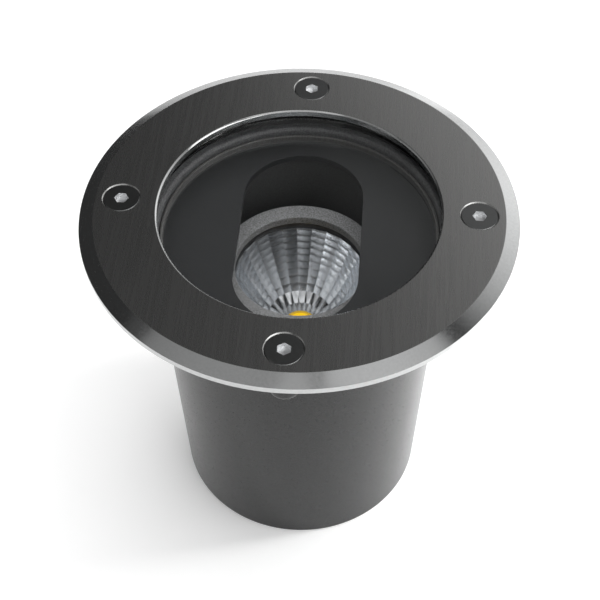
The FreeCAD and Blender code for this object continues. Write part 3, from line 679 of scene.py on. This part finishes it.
class WELLLIGHT_OT_trim_ring(Operator):
    """Bevelled trim ring with its countersunk holes"""

    bl_idname = "welllight.trim_ring"
    bl_label = "Trim Ring"

    def execute(self, context):
        sizes, colours = settings(context)
        outer = min(RING_HIGH.x, -RING_LOW.x)
        top_z = RING_HIGH.z
        flange_z = CAN_HIGH.z
        glass_z = GASKET_HIGH.z
        seat = sizes.screw_circle + sizes.boss_radius + sizes.head_clearance
        seal_gap = 0.4 * MM
        recess = GASKET_HIGH.x + seal_gap
        bevel_start = outer - sizes.ring_bevel_width
        bore_end = sizes.ring_bore + sizes.bore_chamfer
        ring = spun([
            (sizes.ring_bore, glass_z), (sizes.ring_bore, top_z - sizes.bore_chamfer_depth),
            (bore_end, top_z), (bevel_start, top_z), (outer, top_z - sizes.ring_bevel_drop),
            (outer, RING_LOW.z), (seat, RING_LOW.z), (seat, flange_z), (recess, flange_z),
            (recess, glass_z),
        ], ROUND_STEPS)
        rounded(ring, sizes.edge_round, least_angle=15.0)
        rim = sizes.screw_head + sizes.head_clearance
        flare = 0.10 * MM
        shank = sizes.screw_shank + sizes.shank_clearance
        holes = spun([
            (0, flange_z - OVERCUT), (shank, flange_z - OVERCUT),
            (shank, top_z - flare - (rim - shank)), (rim, top_z - flare),
            (rim + flare, top_z), (rim + flare, top_z + OVERCUT), (0, top_z + OVERCUT),
        ], SCREW_STEPS)
        ring = combined(ring, at_screws(holes, sizes), "DIFFERENCE")
        painted(ring, lambda reach, z: reach > bevel_start or reach < bore_end)
        steels = [satin_steel(colours), polished_steel(colours)]
        piece(ring, "ring_turned", "body", steels, "trim_ring", 20.0)
        return {"FINISHED"}


class WELLLIGHT_OT_cover_screws(Operator):
    """Four countersunk screws with hexagon sockets"""

    bl_idname = "welllight.cover_screws"
    bl_label = "Cover Screws"

    def execute(self, context):
        sizes, colours = settings(context)
        top_z = SCREWS_HIGH.z
        shank = sizes.screw_shank
        edge = 0.25 * MM
        screw = spun([
            (0, SCREWS_LOW.z), (shank * 0.8, SCREWS_LOW.z), (shank, SCREWS_LOW.z + shank * 0.2),
            (shank, top_z - sizes.screw_head + shank), (sizes.screw_head, top_z - edge),
            (sizes.screw_head - edge, top_z), (0, top_z),
        ], SCREW_STEPS)
        corner = sizes.screw_socket / math.sqrt(3)
        socket = prism(6, corner, top_z - sizes.socket_depth, top_z + OVERCUT)
        screw = combined(screw, socket, "DIFFERENCE")
        # Painted highlight: the socket's walls and floor take the near-white steel.
        painted(screw, lambda reach, z: (
            reach < corner * 1.1 and 0.001 * MM < top_z - z < 2 * sizes.socket_depth
        ))
        screws = at_screws(screw, sizes)
        steels = [screw_steel(colours), socket_steel()]
        piece(screws, "screws_countersunk", "body", steels, "cover_screws")
        return {"FINISHED"}


# ---- Can ----


def can_shell(sizes):
    """Outside and inside of the can in one outline."""
    flange_z = CAN_HIGH.z
    ledge_z = GASKET_LOW.z
    shoulder_z = YOKE_HIGH.z
    hub_z = ledge_z - sizes.ledge_thickness
    seal_gap = 0.1 * MM
    pocket = GASKET_HIGH.x + seal_gap
    outline = [
        (0, 0), (sizes.can_foot, 0), (sizes.can_top, hub_z), (sizes.hub_radius, hub_z),
        (sizes.hub_radius, flange_z - sizes.flange_thickness),
        (sizes.flange_radius, flange_z - sizes.flange_thickness),
        (sizes.flange_radius, flange_z), (pocket, flange_z), (pocket, ledge_z),
    ]
    for sine, cosine in quarter(6):
        radius = sizes.throat_radius + sizes.throat_round * (1 - sine)
        outline.append((radius, ledge_z - sizes.throat_round * (1 - cosine)))
    outline += [
        (sizes.throat_radius, shoulder_z), (sizes.shoulder_radius, shoulder_z),
        (sizes.well_floor, sizes.can_floor), (0, sizes.can_floor),
    ]
    shell = spun(outline, ROUND_STEPS, math.pi / ROUND_STEPS)
    return rounded(shell, 0.6 * MM, least_angle=35.0, segments=3)


def screw_boss(sizes):
    """Boss with a rounded lower end, which shares no face and no corner with the can's shell."""
    low_z = CAN_HIGH.z - sizes.boss_length
    outline = [(0, low_z)]
    for sine, cosine in quarter(5):
        radius = sizes.boss_radius - sizes.boss_round * (1 - sine)
        outline.append((radius, low_z + sizes.boss_round * (1 - cosine)))
    sunk = 0.5 * MM
    turn = 0.03
    top_z = CAN_HIGH.z - sunk
    outline += [(sizes.boss_radius, top_z), (0, top_z)]
    return spun(outline, SMALL_STEPS, turn)


class WELLLIGHT_OT_can(Operator):
    """Tapered can with its flange, bosses, cable pad and floor posts"""

    bl_idname = "welllight.can"
    bl_label = "Can"

    def execute(self, context):
        sizes, colours = settings(context)
        can = combined(can_shell(sizes), at_screws(screw_boss(sizes), sizes), "UNION")
        half = sizes.web_thickness / 2
        root = 2 * MM
        hub_z = GASKET_LOW.z - sizes.ledge_thickness
        web = brick(
            (sizes.can_top - root, -half, hub_z - sizes.web_drop),
            (sizes.screw_circle, half, hub_z + root),
        )
        can = combined(can, copies(rounded(web, MM, segments=3), turns(4)), "UNION")
        axis_z = (GLAND_LOW.z + GLAND_HIGH.z) / 2
        pad_start = sizes.well_floor + 3 * MM
        pad = rod(sizes.gland_pad, 0, WASHER_LOW.y - pad_start, MIDDLE_STEPS)
        rounded(pad, 0.8 * MM, segments=3)
        can = combined(can, placed(pad, along_y(pad_start, axis_z)), "UNION")
        post = rod(sizes.post_radius, sizes.can_floor / 2, TRAY_LOW.z)
        placed(post, shifted(x=TRAY_HIGH.x - sizes.post_edge))
        post_angles = (35.0, 145.0, 270.0)
        places = [Matrix.Rotation(math.radians(angle), 4, "Z") for angle in post_angles]
        can = combined(can, copies(post, places), "UNION")
        hole_start = sizes.well_floor - 4 * MM
        hole_length = 15 * MM
        hole = rod(sizes.gland_thread + FIT, 0, hole_length, MIDDLE_STEPS)
        can = combined(can, placed(hole, along_y(hole_start, axis_z)), "DIFFERENCE")
        hole = rod(sizes.screw_shank + FIT, SCREWS_LOW.z - OVERCUT, CAN_HIGH.z + OVERCUT)
        can = combined(can, at_screws(hole, sizes), "DIFFERENCE")
        skin = 0.1 * MM

        # Painted light: throat faces (1) and the well's walls (2) take paler copies of the can's
        # coat.
        def coat(reach, z):
            if YOKE_HIGH.z - skin < z < CAN_HIGH.z - MM and reach < GASKET_HIGH.x:
                return 1
            return 2 if z > sizes.can_floor / 2 and reach < sizes.shoulder_radius + skin else 0

        painted(can, coat)
        paints = [can_paint(colours), throat_paint(), well_paint()]
        piece(can, "can_cast", "body", paints, "housing")
        return {"FINISHED"}


# ---- Glass and gland ----


class WELLLIGHT_OT_glass(Operator):
    """Clear glass and the seal round its edge"""

    bl_idname = "welllight.glass"
    bl_label = "Glass and Seal"

    def execute(self, context):
        sizes, _ = settings(context)
        radius = GLASS_HIGH.x
        disc = trimmed_rod(radius, GLASS_LOW.z, GLASS_HIGH.z, nip=0.5 * MM, steps=ROUND_STEPS)
        piece(disc, "glass_disc", "body", [clear_glass()], "glass_lens")
        inner = radius - sizes.gasket_lip
        web = radius + FIT
        outer = GASKET_HIGH.x
        seal = spun([
            (inner, GASKET_LOW.z), (outer, GASKET_LOW.z), (outer, GASKET_HIGH.z),
            (inner, GASKET_HIGH.z), (inner, GLASS_HIGH.z), (web, GLASS_HIGH.z),
            (web, GLASS_LOW.z), (inner, GLASS_LOW.z),
        ], ROUND_STEPS)
        rounded(seal, 0.12 * MM)
        piece(seal, "glass_seal", "body", [silicone()], "glass_gasket")
        return {"FINISHED"}


def nut_blank(radius, low_z, high_z):
    """Hexagon with its corners turned off at both ends."""
    turned_off = trimmed_rod(radius, low_z, high_z, nip=radius * 0.06, steps=MIDDLE_STEPS)
    return combined(prism(6, radius, low_z, high_z), turned_off, "INTERSECT")


class WELLLIGHT_OT_gland(Operator):
    """Cable gland: body, rubber sleeve and cap"""

    bl_idname = "welllight.gland"
    bl_label = "Cable Gland"

    def execute(self, context):
        sizes, _ = settings(context)
        black = moulding("nylon_moulded_black", "1b1b1c")
        rubber = silicone()
        lying = along_y(0, (CAP_LOW.z + CAP_HIGH.z) / 2)
        corner = CAP_HIGH.x
        thread = sizes.gland_thread
        thread_depth = 0.45 * MM
        root = thread - thread_depth
        pitch = 1.5 * MM
        ridges = []
        for step in range(int((GLAND_HIGH.y - GLAND_LOW.y) / pitch)):
            foot = GLAND_LOW.y + step * pitch
            ridges += [(root, foot), (thread, foot + pitch / 2)]
        stem = spun(
            [(0, GLAND_LOW.y), *ridges, (root, GLAND_HIGH.y), (0, GLAND_HIGH.y)], SCREW_STEPS
        )
        collar = nut_blank(corner, WASHER_HIGH.y, WASHER_HIGH.y + sizes.gland_collar)
        body = combined(stem, collar, "UNION")
        body = bored(body, sizes.gland_bore, GLAND_LOW.y - OVERCUT, GLAND_HIGH.y + OVERCUT)
        body = bored(body, SEAL_HIGH.x + FIT, SEAL_LOW.y, GLAND_HIGH.y + OVERCUT)
        placed(body, lying)
        piece(body, "gland_threaded", "body", [black], "gland_body")

        nose_length = 3.5 * MM
        nose_start = CAP_HIGH.y - nose_length
        shoulder = corner * math.sqrt(0.75)
        curve = []
        for sine, cosine in quarter(6):
            radius = sizes.gland_nose + (shoulder - sizes.gland_nose) * cosine
            curve.append((radius, nose_start + (CAP_HIGH.y - nose_start) * sine))
        dome = spun([
            (0, nose_start - MM), (curve[0][0], nose_start - MM), *curve, (0, CAP_HIGH.y),
        ], MIDDLE_STEPS)
        cap = combined(nut_blank(corner, CAP_LOW.y, nose_start), dome, "UNION")
        cap = bored(cap, thread + FIT, CAP_LOW.y - OVERCUT, nose_start)
        cap = bored(cap, sizes.gland_mouth, CAP_LOW.y - OVERCUT, CAP_HIGH.y + OVERCUT)
        placed(cap, lying)
        piece(cap, "gland_nut", "body", [black], "gland_cap")

        hollow = 4 * MM
        sleeve = tube(hollow, SEAL_HIGH.x, SEAL_LOW.y, SEAL_HIGH.y, SCREW_STEPS)
        placed(rounded(sleeve, 0.2 * MM), lying)
        piece(sleeve, "gland_sleeve", "body", [rubber], "gland_seal")
        return {"FINISHED"}


# ---- Baffle ----


class WELLLIGHT_OT_baffle(Operator):
    """Slotted black plate with its upright rim and studs"""

    bl_idname = "welllight.baffle"
    bl_label = "Baffle Plate"

    def execute(self, context):
        sizes, colours = settings(context)
        low_z = YOKE_HIGH.z
        top_z = low_z + sizes.baffle_thickness
        radius = BAFFLE_HIGH.x
        inner = radius - sizes.baffle_rim
        plate = spun([
            (0, low_z), (radius, low_z), (radius, BAFFLE_HIGH.z), (inner, BAFFLE_HIGH.z),
            (inner, top_z), (0, top_z),
        ], ROUND_STEPS)
        rounded(plate, 0.35 * MM, segments=3)
        slot_radius = sizes.slot_width / 2
        reach = inner - sizes.slot_end_web - slot_radius
        steps = 128
        cutter = bmesh.new()
        bmesh.ops.create_circle(
            cutter, cap_ends=True, segments=steps, radius=slot_radius,
            matrix=Matrix.Rotation(math.pi / steps, 4, "Z"),
        )
        for vert in cutter.verts:
            vert.co.y += math.copysign(reach, vert.co.y)
            vert.co.z = low_z - OVERCUT
        walls = bmesh.ops.extrude_face_region(cutter, geom=cutter.faces[:])
        lifted = [item for item in walls["geom"] if isinstance(item, bmesh.types.BMVert)]
        rise = sizes.baffle_thickness + 2 * OVERCUT
        bmesh.ops.translate(cutter, vec=(0, 0, rise), verts=lifted)
        bmesh.ops.recalc_face_normals(cutter, faces=cutter.faces)
        plate = combined(plate, cutter, "DIFFERENCE")
        slot_edges = [
            edge for edge in plate.edges
            if edge.calc_face_angle(0.0) > math.radians(60)
            and edge.verts[0].co.xy.length < inner - MM
            and abs(edge.verts[0].co.z - edge.verts[1].co.z) < 0.01 * MM
        ]
        bevelled(plate, slot_edges, width=0.3 * MM, segments=3)
        stud_root = 0.5 * MM
        stud = rod(sizes.stud_radius, BAFFLE_LOW.z, low_z + stud_root, STUD_STEPS)
        places = [
            shifted(side * sizes.stud_x, end * sizes.stud_y) for side in (-1, 1) for end in (-1, 1)
        ]
        plate = joined([plate, copies(stud, places)])
        painted(plate, lambda reach, z: z > top_z + 0.3 * MM)
        paints = [baffle_paint(colours), rim_paint()]
        piece(plate, "baffle_slotted", "insert", paints, "baffle_plate")
        return {"FINISHED"}


# ---- Lamp head ----


class WELLLIGHT_OT_lamp_barrel(Operator):
    """Barrel of the lamp head, with its face ring and pivot pads"""

    bl_idname = "welllight.lamp_barrel"
    bl_label = "Lamp Barrel"

    def execute(self, context):
        sizes, colours = settings(context)
        low_z = BARREL_LOW.z
        face_z = BARREL_HIGH.z
        step_z = face_z - sizes.lamp_face
        barrel = spun([
            (sizes.lamp_bore, low_z), (sizes.lamp_radius, low_z), (sizes.lamp_radius, face_z),
            (sizes.lamp_opening, face_z), (sizes.lamp_opening, step_z), (sizes.lamp_bore, step_z),
        ], ROUND_STEPS)
        rounded(barrel, 0.35 * MM, segments=3)
        depth = 2 * MM
        pad = rounded(rod(sizes.pivot_pad, 0, depth, SCREW_STEPS), 0.15 * MM)
        axis_z = (PIVOT_LOW.z + PIVOT_HIGH.z) / 2
        side = shifted(x=BARREL_HIGH.x - depth, z=axis_z) @ Matrix.Rotation(math.pi / 2, 4, "Y")
        pads = copies(placed(pad, side), turns(2))
        boss = rod(sizes.barrel_boss, low_z, low_z + sizes.barrel_boss_height)
        placed(boss, shifted(x=sizes.lamp_bore - sizes.barrel_boss / 2))
        barrel = joined([barrel, pads, copies(boss, turns(3, math.pi / 2))])
        paint = lamp_paint(colours)
        piece(barrel, "lamp_barrel_cast", "lamp_head", [paint], "lamp_barrel")
        return {"FINISHED"}


def bowl_outline(sizes):
    """Radius and height of each ring of facet corners, mouth first."""
    outline = []
    foot_gap = 0.2 * MM
    widening = sizes.reflector_mouth - sizes.reflector_neck
    for row in range(sizes.facet_rows + 1):
        share = row / sizes.facet_rows
        radius = sizes.reflector_neck + widening * (1 - share) ** (1 / sizes.bowl_curve)
        outline.append((radius, REFLECTOR_HIGH.z - sizes.reflector_bowl * share))
    outline.append((PHOSPHOR_HIGH.x + foot_gap, REFLECTOR_LOW.z))
    return outline


def crown_facets(bm, height):
    """Divides the flat faces that look at the axis and bulges each one, highest in its middle."""
    cuts = 5
    square = ((0, 0), (1, 0), (1, 1), (0, 1))
    place = bm.loops.layers.uv.new("place")
    number = bm.faces.layers.int.new("number")
    normals = [Vector()]
    edges = set()
    for face in bm.faces:
        middle = face.calc_center_median()
        if face.normal.xy.dot(middle.xy) > -0.1 * middle.xy.length:
            continue
        face[number] = len(normals)
        normals.append(face.normal.copy())
        for loop, corner in zip(face.loops, square):
            loop[place].uv = corner
            loop.edge.smooth = False
            edges.add(loop.edge)
    bmesh.ops.subdivide_edges(bm, edges=list(edges), cuts=cuts, use_grid_fill=True)
    pushes = {}
    for face in bm.faces:
        for loop in face.loops:
            if face[number]:
                u, v = loop[place].uv
                push = normals[face[number]] * height * 4 * (u * (1 - u) + v * (1 - v))
                pushes.setdefault(loop.vert, []).append(push)
    for vert, pull in pushes.items():
        vert.co += sum(pull, Vector()) / len(pull)
    bm.loops.layers.uv.remove(place)
    bm.faces.layers.int.remove(number)


class WELLLIGHT_OT_reflector(Operator):
    """Faceted reflector and the black ring over its flange"""

    bl_idname = "welllight.reflector"
    bl_label = "Reflector"

    def execute(self, context):
        sizes, colours = settings(context)
        bowl = bowl_outline(sizes)
        rim = REFLECTOR_HIGH.x
        mouth_z = REFLECTOR_HIGH.z
        flange = MM
        flange_z = mouth_z - flange
        wall = sizes.reflector_wall
        skin = [(radius + wall, z) for radius, z in reversed(bowl) if z < flange_z - flange]
        outline = bowl + skin + [(bowl[0][0] + wall, flange_z), (rim, flange_z), (rim, mouth_z)]
        half_column = math.pi / sizes.facet_columns
        reflector = spun(outline, sizes.facet_columns, math.pi / 2 + half_column)
        crown_facets(reflector, sizes.facet_crown)
        silver = metallised(colours)
        piece(
            reflector, "reflector_faceted", "lamp_head", [silver], "reflector"
        )
        # Painted shade: the spacer is black, and its inner face also stands for the shade under
        # the barrel's lip.
        inner = SPACER_HIGH.x - sizes.spacer_width
        spacer = tube(inner, SPACER_HIGH.x, SPACER_LOW.z, SPACER_HIGH.z, ROUND_STEPS)
        rounded(spacer, 0.15 * MM)
        black = moulding("polycarbonate_moulded_black", "0d0d0e")
        piece(spacer, "spacer_ring", "lamp_head", [black], "reflector_spacer")
        return {"FINISHED"}


class WELLLIGHT_OT_light_source(Operator):
    """Phosphor disc inside its raised dam"""

    bl_idname = "welllight.light_source"
    bl_label = "Light Source"

    def execute(self, context):
        _, colours = settings(context)
        low_z = PHOSPHOR_LOW.z
        top_z = PHOSPHOR_HIGH.z
        radius = PHOSPHOR_HIGH.x
        width = 0.8 * MM
        dam_foot = 0.25 * MM
        dam_fall = 0.1 * MM
        edge_drop = 0.3 * MM
        middle_drop = 0.24 * MM
        disc = spun([
            (0, low_z), (radius, low_z), (radius, low_z + dam_foot),
            (radius - width * 0.2, top_z - dam_fall), (radius - width * 0.5, top_z),
            (radius - width * 0.8, top_z - dam_fall), (radius - width, top_z - edge_drop),
            (0, top_z - middle_drop),
        ], MIDDLE_STEPS)
        painted(disc, lambda reach, z: reach > radius - width)
        resins = [phosphor(colours), dam()]
        piece(disc, "phosphor_disc", "lamp_head", resins, "led_phosphor")
        return {"FINISHED"}


# ---- Inner parts and stage ----


class WELLLIGHT_OT_inner_parts(Operator):
    """Finishes of the control gear, yoke, heat sink and small parts"""

    bl_idname = "welllight.inner_parts"
    bl_label = "Inner Parts"

    def execute(self, context):
        finishes = {
            zinc_steel(): (
                "gear_tray", "tray_screws", "driver_screws", "terminal_screws",
                "terminal_fixings", "yoke_arm_right", "yoke_arm_left", "yoke_washers",
                "yoke_nuts", "holder_screws", "heat_sink_screws", "spring_washers",
                "pivot_screws",
            ),
            brass(): ("earth_screw", "earth_washer"),
            moulding("polycarbonate_moulded_white", "dcdcd8"): ("driver_case", "driver_lid"),
            moulding("polyamide_moulded_ivory", "d8d4c2"): ("terminal_block",),
            moulding("nylon_moulded_natural", "e2dfd2"): ("friction_washers",),
            moulding("polycarbonate_moulded_black", "0d0d0e"): ("led_holder",),
            alumina(): ("led_board",),
            filled_silicone(): ("thermal_pad",),
            black_anodised(): ("heat_sink",),
            silicone(): ("gland_washer",),
        }
        for material, nodes in finishes.items():
            for node in nodes:
                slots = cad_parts[node].data.materials
                slots.clear()
                slots.append(material)
        return {"FINISHED"}


# Azimuth right of +Y and elevation in degrees, size in metres, spread in degrees, and glow.
SOFTBOXES = {
    "overhead_softbox": (-160, 82, 2.3, 100, 0.15),
    "overhead_left": (-130, 60, 1.1, 110, 0.31),
    "overhead_right": (130, 60, 1.1, 110, 0.30),
    "overhead_strip": (106, 66, 0.6, 120, 0.45),
    "rear_softbox": (39, 10, 3.4, 102, 1.5),
    "front_softbox": (172, 34, 1.4, 120, 0.7),
    "right_softbox": (118, 12, 1.5, 120, 3.4),
    "left_softbox": (-100, 5, 2.0, 80, 0.5),
}
SOFTBOX_DISTANCE = 1.3


def softbox(name, azimuth, elevation, size, spread, glow):
    """Square area light that faces the ring and fades towards the edge of its spread.

    The glow is its brightness seen from the middle.
    """
    half = math.radians(spread / 2)
    light = bpy.data.lights.new(name, "AREA")
    light.size = size
    light.spread = 2 * half
    light.energy = glow * math.pi * size ** 2 * (1 - half / math.tan(half))
    made = linked(name, light)
    round_z = Matrix.Rotation(math.radians(-azimuth), 4, "Z")
    down = Matrix.Rotation(math.radians(elevation - 90), 4, "X")
    made.matrix_world = shifted(z=RING_HIGH.z) @ round_z @ down @ shifted(z=SOFTBOX_DISTANCE)
    made.visible_camera = False


def studio_lights():
    """Softboxes, ceiling and pool of light. The last two leave no mirror image."""
    for name, values in SOFTBOXES.items():
        softbox(name, *values)
    ceiling = bpy.data.lights.new("ceiling_glow", "SUN")
    ceiling.energy = 2.4
    ceiling.angle = math.radians(90)
    glow = linked("ceiling_glow", ceiling)
    glow.rotation_euler = (math.radians(-32), math.radians(8), 0)
    glow.visible_glossy = False
    pool = bpy.data.lights.new("floor_pool", "SPOT")
    pool.energy = 15.0
    pool.spot_size = math.radians(34)
    pool.spot_blend = 1.0
    pool.shadow_soft_size = 0.08
    beam = linked("floor_pool", pool)
    start = Vector((0.5, 0.12, 0.35))
    end = Vector((0.13, 0.05, 0))
    beam.location = start
    beam.rotation_euler = (end - start).to_track_quat("-Z", "Y").to_euler()
    beam.visible_glossy = False


def studio_camera():
    """Camera fitted to the ring, the can and its foot in the photo."""
    lens = bpy.data.cameras.new("studio_camera")
    lens.lens = 74.89
    lens.sensor_width = 36.0
    lens.shift_y = 0.003145
    camera = linked("studio_camera", lens)
    distance = 397.2 * MM
    azimuth = math.radians(4.747)
    elevation = math.radians(45.878)
    pitch = math.radians(50.2495)
    roll = math.radians(-0.481)
    level = distance * math.cos(elevation)
    place = shifted(
        level * math.sin(azimuth), -level * math.cos(azimuth),
        RING_HIGH.z + distance * math.sin(elevation),
    )
    turn = Matrix.Rotation(azimuth, 4, "Z") @ Matrix.Rotation(math.pi / 2 - pitch, 4, "X")
    camera.matrix_world = place @ turn @ Matrix.Rotation(roll, 4, "Z")
    return camera


class WELLLIGHT_OT_stage(Operator):
    """Floor, soft lights and camera"""

    bl_idname = "welllight.stage"
    bl_label = "Stage"

    def execute(self, context):
        _, colours = settings(context)
        scene = context.scene
        floor = bmesh.new()
        reach = 20.0
        gap = 0.1 * MM
        bmesh.ops.create_grid(floor, x_segments=2, y_segments=2, size=reach)
        bmesh.ops.translate(floor, vec=(0, 0, CAN_LOW.z - gap), verts=floor.verts)
        floor = loose_object(floor, "studio_floor")
        floor.data.materials.append(light_table(colours))

        world = bpy.data.worlds.new("studio_room")
        world.use_nodes = True
        room = world.node_tree.nodes["Background"].inputs
        room["Color"].default_value = (*linear("ffffff"), 1)
        room["Strength"].default_value = 0.045
        scene.world = world
        studio_lights()
        scene.view_settings.view_transform = "Standard"
        scene.camera = studio_camera()
        return {"FINISHED"}


PIECES = (
    WELLLIGHT_OT_trim_ring,
    WELLLIGHT_OT_cover_screws,
    WELLLIGHT_OT_can,
    WELLLIGHT_OT_glass,
    WELLLIGHT_OT_gland,
    WELLLIGHT_OT_baffle,
    WELLLIGHT_OT_lamp_barrel,
    WELLLIGHT_OT_reflector,
    WELLLIGHT_OT_light_source,
    WELLLIGHT_OT_inner_parts,
    WELLLIGHT_OT_stage,
)


class WELLLIGHT_PT_pieces(Panel):
    """Sizes, colours and pieces of the light"""

    bl_idname = "WELLLIGHT_PT_pieces"
    bl_label = "Well Light"
    bl_space_type = "VIEW_3D"
    bl_region_type = "UI"
    bl_category = "Well Light"

    def draw(self, context):
        for group in settings(context):
            box = self.layout.box()
            for name in group.__annotations__:
                box.prop(group, name)
        for operator in PIECES:
            self.layout.operator(operator.bl_idname)


CLASSES = (WellLightSizes, WellLightColours, *PIECES, WELLLIGHT_PT_pieces)


def register():
    for item in CLASSES:
        bpy.utils.register_class(item)
    bpy.types.Scene.well_light_sizes = PointerProperty(type=WellLightSizes)
    bpy.types.Scene.well_light_colours = PointerProperty(type=WellLightColours)


def unregister():
    del bpy.types.Scene.well_light_colours
    del bpy.types.Scene.well_light_sizes
    for item in reversed(CLASSES):
        bpy.utils.unregister_class(item)


def main():
    """Builds every piece."""
    register()
    for operator in PIECES:
        module, name = operator.bl_idname.split(".")
        getattr(getattr(bpy.ops, module), name)()


if __name__ == "__main__":
    main()
